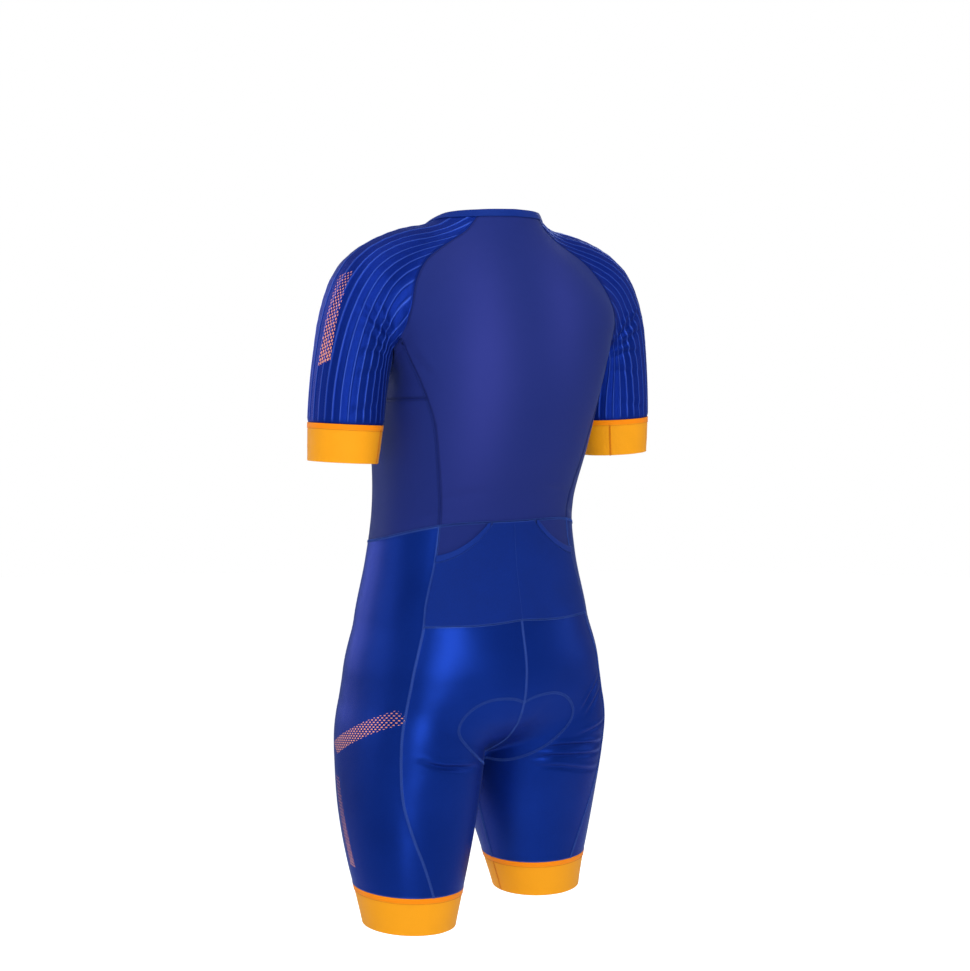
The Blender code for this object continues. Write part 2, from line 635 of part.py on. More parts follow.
def inset(grid, closed=False, gap=SEAM_GAP):
    """The grid with its edges drawn in by half the seam gap."""
    grid = grid.copy()
    half = gap / 2
    for edge, inner in ((0, 1), (-1, -2)):
        grid[edge] += half * unit(grid[inner] - grid[edge])
    if not closed:
        for edge, inner in ((0, 1), (-1, -2)):
            grid[:, edge] += half * unit(grid[:, inner] - grid[:, edge])
    return grid


def layers(grid, lift=0.0, part="trunk", closed=False):
    """Outer and inner grid of a piece. The outer one is lifted where the cloth is doubled."""
    drawn = inset(grid, closed)
    away = unit(slope(grid, part))
    return drawn + lift * away, drawn - WALL * away


def depth_points(grid, depth):
    """The same grid, further in by a depth, or further out where it is negative."""
    return grid - depth * unit(slope(grid))


def posed(points):
    """The standing pose: the left leg a little back, the right leg ahead and its hem turned."""
    x, down = points[..., 0], -points[..., 2]
    moved = points.copy()
    moved[..., 1] += STRIDE * ramp(down, 0.600, 0.900) * x / 0.110
    moved[..., 2] -= SIDE_LEAN * x
    moved[..., 2] += np.where(x < 0, RIGHT_HEM_TURN * ramp(down, 0.700, 0.850) * (x + 0.135), 0)
    return moved


def wall(name, outer, inner, finish, closed=False, pose=posed):
    """A closed cloth wall lofted between an outer and an inner grid. A closed grid is a tube.

    The inner grid may have fewer columns, and then each of its columns backs several outer ones.
    """
    shell = bmesh.new()
    grids = [[[shell.verts.new(point) for point in row] for row in pose(grid)] for grid in (outer, inner)]
    for grid, facing in zip(grids, (1, -1)):
        wide = len(grid[0]) if closed else len(grid[0]) - 1
        for upper, lower in zip(grid, grid[1:]):
            for k in range(wide):
                after = (k + 1) % len(upper)
                shell.faces.new([upper[k], lower[k], lower[after], upper[after]][::facing])
    out, back = grids
    for row in (0, -1):
        bridge(shell, out[row], back[row], closed)
    if not closed:
        for column in (0, -1):
            bridge(shell, [row[column] for row in out], [row[column] for row in back], False)
    bmesh.ops.triangulate(shell, faces=shell.faces[:])
    bmesh.ops.recalc_face_normals(shell, faces=shell.faces[:])
    if shell.calc_volume(signed=True) < 0:
        bmesh.ops.reverse_faces(shell, faces=shell.faces[:])
    return add_object(name, shell, finish)


def bridge(shell, edge, other, closed):
    """Faces between the rim of the outer grid and the rim of the inner one."""
    count = len(edge) if closed else len(edge) - 1
    share = max(1, round(count / (len(other) if closed else len(other) - 1)))
    for k in range(count):
        after = (k + 1) % len(edge)
        near, far = other[(k // share) % len(other)], other[((k + share) // share) % len(other)]
        if (k + 1) % share == 0:
            shell.faces.new([edge[k], edge[after], far, near])
        else:
            shell.faces.new([edge[k], edge[after], near])


def add_object(name, shell, finish):
    mesh = bpy.data.meshes.new(name)
    shell.to_mesh(mesh)
    shell.free()
    mesh.shade_smooth()
    mesh.set_sharp_from_angle(angle=math.radians(40))
    thing = bpy.data.objects.new(name, mesh)
    bpy.data.collections["triathlon_suit"].objects.link(thing)
    thing.data.materials.append(material(name, finish))
    return thing


def material(name, finish):
    colour, rough, metal = COLOURS[finish]
    made = bpy.data.materials.new(name)
    made.use_nodes = True
    shader = made.node_tree.nodes["Principled BSDF"]
    shader.inputs["Base Color"].default_value = (*colour, 1.0)
    shader.inputs["Roughness"].default_value = rough
    shader.inputs["Metallic"].default_value = metal
    made.diffuse_color = (*colour, 1.0)
    return made


def both_sides(stem, outer, inner, finish, closed=False):
    """The piece of the left half and its mirrored fellow on the right."""
    mirror = np.array([-1.0, 1.0, 1.0])
    wall(stem + "_left", outer, inner, finish, closed)
    wall(stem + "_right", (outer * mirror)[:, ::-1], (inner * mirror)[:, ::-1], finish, closed)


def cloth(stem, grid, finish, sides=True):
    """A plain panel of single cloth. Gives back its inner grid."""
    outer, inner = layers(grid)
    if sides:
        outer[..., 0], inner[..., 0] = [np.maximum(x, SEAM_GAP / 2) for x in (outer[..., 0], inner[..., 0])]
        both_sides(stem, outer, inner, finish)
    else:
        wall(stem, outer, inner, finish)
    return inner


# ---------------------------------------------------------------- the pieces
def mirrored(points):
    return np.asarray(points) * [-1, 1, 1]


def upper_body(seams):
    back_left = np.vstack([seams["back_raglan"], seams["back_side_gusset"][1:], seams["back_side"][1:]])
    neck = neckline(np.linspace(BACK_RAGLAN_ANGLE, 360 - BACK_RAGLAN_ANGLE, STEPS_BACK + 1))
    neck[0], neck[-1] = back_left[0], mirrored(back_left[0])
    cloth("back_panel", between(neck, seams["waist_back"], back_left, mirrored(back_left),
                                round_trunk, from_trunk), "mesh", sides=False)

    front_side = np.vstack([seams["front_raglan"], seams["front_side_gusset"][1:],
                            seams["front_side"][1:]])
    neck = neckline(np.linspace(seams["neck_zip_angle"], FRONT_RAGLAN_ANGLE, STEPS_FRONT + 1))
    cloth("front", between(neck, seams["waist_front"], seams["zip_edge"], front_side,
                           round_trunk, from_trunk), "mesh")

    gusset_angles = [math.degrees(round_trunk(seams[name][-1])[0])
                     for name in ("front_side_gusset", "back_side_gusset")]
    angles = np.linspace(*gusset_angles, STEPS_SIDE + 1)
    low = ring_at(angles, np.linspace(seams["front_side_gusset"][-1][2],
                                      seams["back_side_gusset"][-1][2], STEPS_SIDE + 1))
    cloth("underarm_gusset", between(seams["underarm"][::-1], low, seams["front_side_gusset"],
                                     seams["back_side_gusset"], round_trunk, from_trunk), "mesh")
    cloth("side_panel", between(low, seams["waist_side"], seams["front_side"], seams["back_side"],
                                round_trunk, from_trunk), "mesh")


def lower_back_and_pocket(seams):
    left = seams["back_hip"]
    grid = between(seams["waist_back"], seams["hip"], left, mirrored(left), round_trunk, from_trunk)
    cloth("lower_back", grid, "mesh", sides=False)

    # The pocket panel and its bindings are this panel's own points, moved out.
    across = np.linspace(0, 1, STEPS_BACK + 1)
    tape = POCKET_TAPE / np.linalg.norm(grid[0, STEPS_BACK // 2] - grid[-1, STEPS_BACK // 2])
    down = np.linspace(0, 1, STEPS_HIP + 1)[:, None]
    places = 1 - (1 - down) * mouth_share(across)
    panel = inset(grid_at(grid, np.broadcast_to(across, places.shape), places))
    panel = depth_points(panel, -WALL - LAID_GAP)
    wall("pocket_panel", panel, depth_points(panel, WALL), "binding")

    run = np.append(across[:POCKET_MOUTH_STEPS], POCKET_TAPE_END)
    for name, share in (("left", run), ("right", 1 - run[::-1])):
        low = np.interp(share, across, mouth_share(across))
        strip = 1 - np.stack([np.minimum(low + tape, 1), low])
        piece = inset(grid_at(grid, np.broadcast_to(share, strip.shape), strip), gap=2 * SEAM_GAP)
        piece = depth_points(piece, -WALL - LAID_GAP)
        wall("pocket_binding_" + name, depth_points(piece, -FOLDED_EXTRA), depth_points(piece, WALL),
             "binding")


def mouth_share(across):
    """Height of the pocket's mouth above the hip seam, as a share, at places across the back."""
    from_edge = np.minimum(across, 1 - across)
    rise = np.clip(from_edge / POCKET_MOUTH_RUN, 0, 1) ** POCKET_MOUTH_POWER
    return POCKET_MOUTH_LOW + (1 - POCKET_MOUTH_LOW) * rise


def grid_at(grid, across, down):
    """Points of a grid at shares across and down it."""
    rows, wide = grid.shape[0] - 1, grid.shape[1] - 1
    a, d = np.clip(across, 0, 1) * wide, np.clip(down, 0, 1) * rows
    i, j = np.minimum(d.astype(int), rows - 1), np.minimum(a.astype(int), wide - 1)
    s, t = (d - i)[..., None], (a - j)[..., None]
    flat = ((1 - s) * (1 - t) * grid[i, j] + s * (1 - t) * grid[i + 1, j]
            + (1 - s) * t * grid[i, j + 1] + s * t * grid[i + 1, j + 1])
    return flat


def shorts(seams):
    angles = seams["hem_angles"]
    hem = hem_points(angles, HEM_SEAM_Z)
    front_end = STEPS_FRONT + 1
    side_end = front_end + STEPS_SIDE
    hem[0] = hem[-1] = seams["inseam"][-1]
    hem[front_end], hem[side_end] = seams["front_leg"][-1], seams["back_leg"][-1]

    middle = np.vstack([seams["crotch_front"], seams["inseam"][1:]])
    top = np.vstack([seams["waist_zip"][:1], seams["waist_front"]])
    front = cloth("short_front", between(top, hem[: front_end + 1], middle, seams["front_leg"],
                                 round_leg, from_leg), "lycra")
    side = np.vstack([seams["back_hip"], seams["back_leg"][1:]])
    cloth("leg_side", between(seams["waist_side"], hem[front_end: side_end + 1], seams["front_leg"],
                              side, round_leg, from_leg), "lycra")
    middle = np.vstack([seams["crotch_back"], seams["inseam"][1:]])
    hip = seams["hip"][: STEPS_BACK // 2 + 1]
    seat = cloth("seat", between(hip, hem[side_end:], seams["back_leg"], middle,
                                 round_leg, from_leg), "lycra")
    cuff("leg_cuff", [hem_points(angles[:-1], z) for z in cuff_heights(HEM_SEAM_Z, LEG_CUFF_HEIGHT)],
         "trunk")
    seat_pad(front, seat)


def cuff_heights(top, height):
    return [top, top - CUFF_STRIP, top - CUFF_STRIP - 0.0005, top - height / 2, top - height]


def cuff(stem, rings, part):
    """A cuff with a doubled strip along its top."""
    lift = np.zeros((len(rings), 1, 1))
    lift[:2] = FOLDED_EXTRA
    both_sides(stem, *layers(np.stack(rings), lift, part, closed=True), "cuff", closed=True)


def sleeves(seams):
    """Sleeves with raised lines along them, and their cuffs."""
    neck_angles = np.linspace(BACK_RAGLAN_ANGLE, FRONT_RAGLAN_ANGLE, RIBS_NECK + 1)
    neck = neckline(neck_angles)
    loop = np.vstack([seams["back_raglan"][::-1][:-1], neck[:-1], seams["front_raglan"][:-1],
                      seams["underarm"][::-1][:-1]])
    loop[RIBS_BACK_RAGLAN] = seams["back_raglan"][0]
    places = round_arm(loop)
    top_turn = np.unwrap(places[:, 1])
    even = np.linspace(0, 1, RIB_COUNT + 1)[:-1]
    turn = -2 * math.pi if top_turn[-1] < top_turn[0] else 2 * math.pi
    low_turn = turn * even
    low_turn += np.mean(top_turn - low_turn)
    rows = []
    cuff_place = float(np.interp(-SLEEVE_SEAM_Z, -ARM["z"], ARM["place"]))
    for share in np.linspace(0, 1, STEPS_SLEEVE + 1):
        place = places[:, 0] + (cuff_place - places[:, 0]) * share
        angle = top_turn + (low_turn - top_turn) * ramp(share, 0, 0.95)
        radius = places[:, 2] + (0.047 - places[:, 2]) * ramp(share, 0, 0.3)
        rough = from_arm(np.stack([place, angle, radius], axis=-1))
        rows.append(rough)
    grid = np.stack(rows)
    grid = onto(grid, ("sleeve",))
    grid[0] = loop
    grid, inner = layers(grid, 0, "sleeve", closed=True)
    following = np.roll(grid, -1, axis=1)
    crest = (grid + following) / 2
    crest[1:-1] = onto(crest[1:-1], ("sleeve",), 4)
    raise_by = np.full((len(grid), 1, 1), RIB_HEIGHT)
    raise_by[0], raise_by[-1] = 0, 0.4 * RIB_HEIGHT
    crest = crest + raise_by * unit(slope(crest, "sleeve"))
    outer = np.stack([grid, crest], axis=2).reshape(len(grid), -1, 3)
    both_sides("sleeve", outer, inner, "ribbed", closed=True)

    rings = []
    for drop in cuff_heights(0, SLEEVE_CUFF_HEIGHT):
        place = np.interp(-SLEEVE_SEAM_Z - drop, -ARM["z"], ARM["place"])
        ring = np.stack([np.full(RIB_COUNT, place), low_turn, np.full(RIB_COUNT, 0.045)], axis=-1)
        rings.append(onto(from_arm(ring), ("sleeve",)))
    cuff("sleeve_cuff", rings, "sleeve")


def neckband(seams):
    """A binding round the neck, open at the zip."""
    left = np.concatenate([
        np.linspace(seams["neck_zip_angle"], FRONT_RAGLAN_ANGLE, STEPS_FRONT + 1)[:-1],
        np.linspace(FRONT_RAGLAN_ANGLE, BACK_RAGLAN_ANGLE, RIBS_NECK + 1)[:-1],
        np.linspace(BACK_RAGLAN_ANGLE, 180, STEPS_BACK // 2 + 1)])
    angles = np.concatenate([left, 360 - left[-2::-1]])
    low = neckline(angles)
    high = low + NECKBAND_HEIGHT * unit(neckline(angles, NECKBAND_LIFT) - low)
    wall("neckband", *layers(np.stack([high, (high + low) / 2, low]), FOLDED_EXTRA), "binding")


def zip_fastener(seams):
    """Two tapes with their coil along the middle, and the slider closed at the top."""
    lines = [seams["zip_middle"], (seams["zip_middle"] + seams["coil_edge"]) / 2, seams["coil_edge"],
             seams["zip_edge"]]
    top = neckline([seams["neck_zip_angle"]])
    up = NECKBAND_HEIGHT * unit(neckline([seams["neck_zip_angle"]], NECKBAND_LIFT) - top)
    share = [line[0, 0] / top[0, 0] for line in lines]
    grid = np.stack([np.vstack([line[:1] + up * [x, 1, 1], line]) for x, line in zip(share, lines)], axis=1)
    rise = np.array([[0.0], [COIL_HEIGHT], [0.0], [0.0]])
    both_sides("zip_tape", *layers(grid, rise), "zip")
    slider_and_pull(seams["zip_middle"])


def slider_and_pull(middle):
    """The slider at the closed zip's top, and its pull tab, which turns on the slider's pin."""
    heights = middle[::-1, 2]
    top = np.array([0.0, np.interp(SLIDER_Z, heights, middle[::-1, 1]), SLIDER_Z])
    low = SLIDER_Z - SLIDER_LENGTH - PULL_LENGTH
    foot = np.array([0.0, np.interp(low, heights, middle[::-1, 1]), low])
    down = unit(foot - top)
    turn = math.atan2(-down[1], -down[2])               # how far the chest leans out, about X
    away = np.array([0.0, down[2], -down[1]])
    base = top + down * SLIDER_LENGTH / 2 + away * (COIL_HEIGHT + SLIDER_LIFT + SLIDER_THICKNESS / 2)

    def placed(thing):
        thing.rotation_euler = (-turn, 0, 0)
        thing.location = base
        return thing

    body = placed(block("zip_slider", SLIDER_WIDTH, SLIDER_THICKNESS, SLIDER_LENGTH, (0, 0, 0), 0.0006))
    ear_y = -SLIDER_THICKNESS / 2 - EAR_REACH / 2
    for side in (-1, 1):
        x = side * (PULL_WIDTH / 2 + SEAM_GAP + EAR_WIDTH / 2)
        join(body, placed(block("ear", EAR_WIDTH, EAR_REACH + 0.0004, EAR_REACH, (x, ear_y, PIN_DROP), 0)))
    pin_y = -SLIDER_THICKNESS / 2 - EAR_REACH + PIN_RADIUS + 0.0002
    join(body, placed(rod("pin", PIN_RADIUS, PULL_WIDTH + 2 * EAR_WIDTH, (0, pin_y, PIN_DROP))))
    body.data.materials.append(material("zip_slider", "metal"))

    pull = placed(block("zip_pull", PULL_WIDTH, PULL_THICKNESS, PULL_LENGTH,
                        (0, pin_y, PIN_DROP - PULL_LENGTH / 2), 0.0003))
    join(pull, placed(rod("barrel", BARREL_RADIUS, PULL_WIDTH, (0, pin_y, PIN_DROP))))
    join(pull, placed(rod("bore", PIN_RADIUS + PIN_CLEARANCE, PULL_WIDTH * 2, (0, pin_y, PIN_DROP))),
         "DIFFERENCE")
    pull.data.materials.append(material("zip_pull", "metal"))


def block(name, width, depth, height, centre, bevel):
    """A box with rounded edges, in its own frame."""
    shell = bmesh.new()
    bmesh.ops.create_cube(shell, size=1)
    bmesh.ops.scale(shell, vec=(width, depth, height), verts=shell.verts)
    if bevel:
        bmesh.ops.bevel(shell, geom=shell.edges[:], offset=bevel, segments=2, affect="EDGES", profile=0.5)
    bmesh.ops.translate(shell, vec=centre, verts=shell.verts)
    return loose(name, shell)


def rod(name, radius, length, centre):
    """A round rod along X, in its own frame."""
    shell = bmesh.new()
    bmesh.ops.create_cone(shell, cap_ends=True, segments=ROD_SIDES, radius1=radius, radius2=radius,
                          depth=length)
    bmesh.ops.rotate(shell, cent=(0, 0, 0), verts=shell.verts,
                     matrix=Matrix.Rotation(math.radians(90), 3, "Y"))
    bmesh.ops.translate(shell, vec=centre, verts=shell.verts)
    return loose(name, shell)


def loose(name, shell):
    mesh = bpy.data.meshes.new(name)
    shell.to_mesh(mesh)
    shell.free()
    thing = bpy.data.objects.new(name, mesh)
    bpy.data.collections["triathlon_suit"].objects.link(thing)
    return thing


def join(body, other, how="UNION"):
    """Boolean of one solid with another, which is then removed."""
    cut = body.modifiers.new(other.name, "BOOLEAN")
    cut.operation = how
    cut.solver = "EXACT"
    cut.object = other
    bpy.context.view_layer.update()
    mesh = bpy.data.meshes.new_from_object(body.evaluated_get(bpy.context.evaluated_depsgraph_get()))
    body.modifiers.clear()
    body.data = mesh
    bpy.data.objects.remove(other, do_unlink=True)


def seat_pad(front, seat):
    """A thin pad inside the seat, from the inner grids of the panels on both sides of the crotch seam."""
    places = np.linspace(0, PAD["place"][-1], STEPS_PAD[0] + 1)
    out = np.linspace(0, 1, STEPS_PAD[1] + 1)
    lines = []
    for place in places:
        row_in, row_out, column_out = [np.interp(place, PAD["place"], PAD[name])
                                       for name in ("row_in", "row_out", "column_out")]
        row, column = row_in + (row_out - row_in) * out, column_out * out
        if place <= PAD_CROTCH_PLACE:
            across, down = 1 - column / (seat.shape[1] - 1), STEPS_CROTCH_BACK - row
            lines.append(grid_at(seat, across, down / (seat.shape[0] - 1)))
        else:
            across, down = column / (front.shape[1] - 1), STEPS_HIP + STEPS_CROTCH_BACK - row
            lines.append(grid_at(front, across, down / (front.shape[0] - 1)))
    left = np.stack(lines)
    left[:, 0, 0] = 0
    away = slope(left)
    away[:, 0, 0] = 0
    grid, away = [np.concatenate([mirrored(half)[:, :0:-1], half], axis=1) for half in (left, away)]
    outer = settle(posed(grid), unit(away))
    wall("seat_pad", outer, outer - PAD_THICKNESS * unit(away), "pad", pose=np.array)


def settle(grid, away):
    """Points moved out from inside the shorts until they are the pad's gap away from the walls."""
    trees = []
    for name in ("seat_left", "seat_right", "short_front_left", "short_front_right"):
        mesh = bpy.data.objects[name].data
        corners = [corner.co.copy() for corner in mesh.vertices]
        trees.append(BVHTree.FromPolygons(corners, [tuple(face.vertices) for face in mesh.polygons]))
    settled = grid - PAD_START_DEPTH * away
    rows, wide = 2 * grid.shape[0] - 1, 2 * grid.shape[1] - 1
    for _ in range(PAD_ROUNDS):
        room = [min(tree.find_nearest(point)[3] for tree in trees)
                for point in doubled(settled).reshape(-1, 3)]
        room = np.pad(np.reshape(room, (rows, wide)), 1, mode="edge")
        around = [room[i:i + rows:2, j:j + wide:2] for i in range(3) for j in range(3)]
        settled = settled + (np.min(around, axis=0) - PAD_GAP)[..., None] * away
    return settled


def doubled(grid):
    """The grid with the points halfway between its own added."""
    for axis in (0, 1):
        grid = np.moveaxis(grid, axis, 0)
        fine = np.empty((2 * len(grid) - 1,) + grid.shape[1:])
        fine[::2], fine[1::2] = grid, (grid[:-1] + grid[1:]) / 2
        grid = np.moveaxis(fine, 0, axis)
    return grid


def build():
    for thing in list(bpy.data.objects):
        bpy.data.objects.remove(thing, do_unlink=True)
    suit = bpy.data.collections.new("triathlon_suit")
    bpy.context.scene.collection.children.link(suit)
    seams = all_seams()
    upper_body(seams)
    lower_back_and_pocket(seams)
    shorts(seams)
    sleeves(seams)
    neckband(seams)
    zip_fastener(seams)


build()
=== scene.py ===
"""Short-sleeved one-piece triathlon suit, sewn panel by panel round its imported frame.

Metres, +Z up the body, the front faces -Y and the wearer's left is +X. Every seam is a curve on a
general figure that isn't shown, every panel is a fine sheet stretched between its seams, and thread,
zip, pocket bindings and creases lie on those sheets.
"""
import copy
import functools
import math

import bmesh
import bpy
import numpy as np
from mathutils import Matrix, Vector


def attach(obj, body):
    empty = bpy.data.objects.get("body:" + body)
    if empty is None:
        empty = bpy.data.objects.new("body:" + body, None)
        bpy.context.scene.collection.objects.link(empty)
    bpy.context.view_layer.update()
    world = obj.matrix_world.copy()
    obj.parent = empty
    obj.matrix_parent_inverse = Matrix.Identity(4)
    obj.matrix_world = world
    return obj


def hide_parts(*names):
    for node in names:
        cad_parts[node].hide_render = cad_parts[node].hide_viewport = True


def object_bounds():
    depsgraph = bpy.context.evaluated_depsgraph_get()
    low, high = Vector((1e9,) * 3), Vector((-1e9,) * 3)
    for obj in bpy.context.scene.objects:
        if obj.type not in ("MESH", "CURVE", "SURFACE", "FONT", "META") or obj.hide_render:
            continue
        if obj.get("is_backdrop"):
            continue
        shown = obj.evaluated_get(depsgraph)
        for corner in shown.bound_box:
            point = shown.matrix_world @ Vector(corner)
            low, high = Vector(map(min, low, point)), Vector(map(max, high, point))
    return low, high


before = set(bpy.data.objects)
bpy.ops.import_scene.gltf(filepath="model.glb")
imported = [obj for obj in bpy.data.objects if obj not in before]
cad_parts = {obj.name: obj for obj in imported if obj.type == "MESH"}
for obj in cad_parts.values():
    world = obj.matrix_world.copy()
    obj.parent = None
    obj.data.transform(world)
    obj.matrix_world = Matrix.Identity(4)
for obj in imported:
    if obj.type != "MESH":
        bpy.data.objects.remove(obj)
CAD_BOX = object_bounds()

bl_info = {
    "name": "Triathlon suit",
    "version": (1, 0, 0),
    "blender": (4, 5, 0),
    "location": "3D View > Sidebar > Triathlon suit",
    "description": "Builds the cloth, seams, zip and stage of a short-sleeved triathlon suit",
    "category": "Object",
}

# ---------------------------------------------------------------- driving dimensions
WALL = 0.0012               # thickness of the cloth
SEAM_GAP = 0.0003           # space between two pieces at a seam
FOLDED_EXTRA = 0.0006       # how far a folded or doubled edge stands proud of single cloth
LAID_GAP = 0.0007           # space between a panel and what lies on it
NECK_FRONT_REACH = 0.0895   # from the origin to the neckline at the front
NECKBAND_HEIGHT = 0.008
NECKBAND_LIFT = 5.0         # degrees of pitch that give the way up the neck
ZIP_HALF_WIDTH = 0.0065     # from the middle of the zip to the front panel's edge
COIL_HALF_WIDTH = 0.0028
RIB_COUNT = 30              # raised lines round one sleeve
LEG_CUFF_HEIGHT = 0.046
SLEEVE_CUFF_HEIGHT = 0.047
CUFF_STRIP = 0.006          # doubled strip along the top of every cuff
POCKET_TAPE = 0.0085        # width of the binding of a pocket mouth
STRIDE = 0.025              # how far the left leg stands behind and the right leg ahead, at the hem
SIDE_LEAN = 0.025           # how much lower the left side stands, for each metre out
RIGHT_HEM_TURN = 0.125      # how much the right hem drops towards its outer side, for each metre out
SHOULDER_BLEND = 0.026      # roundness of the join between trunk and arms
HIP_BLEND = 0.030           # roundness of the join between trunk and legs
CROTCH_BLEND = 0.018        # roundness of the saddle between the legs


def columns(names, rows):
    """A short table as named columns. Its rows run along the first column."""
    values = np.array(sorted(rows), float).T
    return dict(zip(names.split(), values))


# Sections of the trunk, from the neck down to where it closes between the legs.
TRUNK = columns("z half_width front back centre_y square", [
    (0.040, 0.066, 0.064, 0.062, 0.004, 2.0),
    (0.000, 0.070, 0.066, 0.066, 0.002, 2.0),
    (-0.030, 0.092, 0.076, 0.074, 0.000, 2.1),
    (-0.070, 0.140, 0.094, 0.092, -0.002, 2.5),
    (-0.120, 0.171, 0.108, 0.109, -0.004, 3.1),
    (-0.170, 0.164, 0.117, 0.115, -0.005, 3.1),
    (-0.225, 0.151, 0.118, 0.115, -0.006, 2.9),
    (-0.300, 0.143, 0.110, 0.106, -0.014, 2.5),
    (-0.385, 0.137, 0.100, 0.101, -0.034, 2.3),
    (-0.440, 0.143, 0.104, 0.108, -0.038, 2.3),
    (-0.515, 0.158, 0.110, 0.125, -0.040, 2.3),
    (-0.585, 0.164, 0.109, 0.136, -0.040, 2.3),
    (-0.620, 0.152, 0.102, 0.129, -0.040, 2.3),
    (-0.650, 0.128, 0.088, 0.110, -0.040, 2.2),
    (-0.672, 0.092, 0.066, 0.080, -0.040, 2.1),
    (-0.686, 0.050, 0.040, 0.044, -0.040, 2.0),
    (-0.694, 0.020, 0.020, 0.020, -0.040, 2.0),
])
# Sections of the left leg.
LEG = columns("z centre_x centre_y half_width front back square", [
    (-0.480, 0.080, -0.040, 0.020, 0.020, 0.020, 2.0),
    (-0.540, 0.084, -0.040, 0.064, 0.074, 0.084, 2.1),
    (-0.600, 0.090, -0.040, 0.082, 0.096, 0.108, 2.2),
    (-0.650, 0.094, -0.040, 0.090, 0.100, 0.112, 2.3),
    (-0.700, 0.097, -0.040, 0.0915, 0.098, 0.106, 2.3),
    (-0.760, 0.101, -0.040, 0.0895, 0.093, 0.096, 2.25),
    (-0.820, 0.106, -0.036, 0.0815, 0.085, 0.085, 2.1),
    (-0.860, 0.109, -0.032, 0.0730, 0.0760, 0.0760, 2.0),
    (-0.900, 0.112, -0.028, 0.0635, 0.0665, 0.0665, 2.0),
    (-0.940, 0.114, -0.026, 0.0580, 0.0610, 0.0610, 2.0),
])
# Middle line and radius of the left arm, from the root of the neck down past the sleeve's hem.
ARM = columns("place x y z radius", [
    (0, 0.030, 0.000, -0.052, 0.040),
    (1, 0.090, 0.000, -0.060, 0.047),
    (2, 0.130, 0.001, -0.073, 0.051),
    (3, 0.165, 0.003, -0.098, 0.0550),
    (4, 0.185, 0.004, -0.137, 0.0525),
    (5, 0.196, 0.003, -0.180, 0.0490),
    (6, 0.202, 0.001, -0.225, 0.0475),
    (7, 0.205, -0.001, -0.272, 0.0465),
    (8, 0.208, -0.003, -0.322, 0.0430),
    (9, 0.211, -0.005, -0.370, 0.0400),
])
ARM_STEPS = 27              # straight stretches that the arm's middle line is measured on
ARMPIT_TOP = -0.158         # trunk and sleeve part from here down
ARMPIT_OPEN = -0.196        # and are quite separate from here down
ARMPIT_CLEARANCE = 0.045
HOLLOW_DEPTH = 0.012        # the trunk's side is drawn in under the arm by this much
HOLLOW_CENTRE_Z = -0.197
HOLLOW_REACH = (0.040, 0.034)           # how far that hollow runs in Y and in Z
# Seams of the left half, as rough places that are then brought onto the figure.
NECK_CENTRE_Z = -0.050      # the neckline is seen from this point of the middle line, at these pitches
NECK_PITCH = columns("angle pitch", [(0, -4), (50, 13), (95, 30), (140, 33), (180, 34)])
FRONT_RAGLAN_ANGLE = 50     # where the raglan seams reach the neck, round from the front
BACK_RAGLAN_ANGLE = 139
BACK_RAGLAN = columns("place x y z", [
    (1, 0.064, 0.064, -0.012),
    (2, 0.089, 0.066, -0.026),
    (3, 0.120, 0.068, -0.050),
    (4, 0.142, 0.072, -0.082),
    (5, 0.158, 0.078, -0.130),
    (6, 0.161, 0.060, -0.166),
])
FRONT_RAGLAN = columns("place x y z", [
    (1, 0.072, -0.062, -0.050),
    (2, 0.098, -0.074, -0.072),
    (3, 0.125, -0.080, -0.100),
    (4, 0.147, -0.078, -0.134),
    (5, 0.158, -0.054, -0.166),
])
UNDERARM = columns("place x y z", [
    (1, 0.160, 0.044, -0.178),
    (2, 0.158, 0.022, -0.186),
    (3, 0.158, 0.000, -0.188),
    (4, 0.158, -0.022, -0.186),
    (5, 0.158, -0.042, -0.178),
])
# Seams down the trunk: angle round it from the front, at each height.
BACK_SIDE_SEAM = columns("z angle", [
    (-0.196, 115.5), (-0.220, 119), (-0.268, 124), (-0.350, 128), (-0.392, 129.5),
])
FRONT_SIDE_SEAM = columns("z angle", [
    (-0.196, 63), (-0.220, 58), (-0.268, 52), (-0.340, 47), (-0.420, 45),
])
# Seams down the leg: angle round the leg's own middle line, from the front.
BACK_LEG_SEAM = columns("z angle", [
    (-0.392, 139.4), (-0.441, 143.6), (-0.4855, 142.3), (-0.517, 143.7), (-0.585, 143.5),
    (-0.6435, 142.5), (-0.703, 145), (-0.734, 147), (-0.771, 153), (-0.8075, 162), (-0.862, 172),
])
FRONT_LEG_SEAM = columns("z angle", [
    (-0.420, 38), (-0.480, 36), (-0.560, 34), (-0.640, 34), (-0.720, 36), (-0.790, 40), (-0.862, 46),
])
HALF_MIDDLE = columns("z x", [(-0.380, 0.030), (-0.500, 0.052), (-0.600, 0.075), (-0.700, 0.094)])
WAIST_SEAM = columns("angle z", [(0, -0.420), (45, -0.420), (90, -0.411), (130, -0.393), (180, -0.391)])
HIP_SEAM = columns("angle z", [(130, -0.5155), (155, -0.5160), (180, -0.5130)])
GUSSET_SEAM_Z = -0.234
CROTCH_CENTRE = (-0.040, -0.600)        # y and z of a point inside, that the crotch seam goes round
CROTCH_LOW_ANGLE = -90                  # direction from there to the lowest point of the crotch
HEM_SEAM_Z = -0.848                     # top of the leg cuff at the leg's middle line
HEM_TILT = 0.095                        # the leg's lean, which tilts its hem
SLEEVE_SEAM_Z = -0.263                  # top of the sleeve cuff at the arm's middle line
# How far up the lower back each point of the pocket's mouth is, as a share of its height.
POCKET_MOUTH_LOW = 0.64
POCKET_MOUTH_STEPS = 4                  # columns of the lower back that the mouth's curve takes, each side
POCKET_TAPE_END = 0.312                 # where the binding runs under the waist seam
POCKET_MOUTH_POWER = 1.8
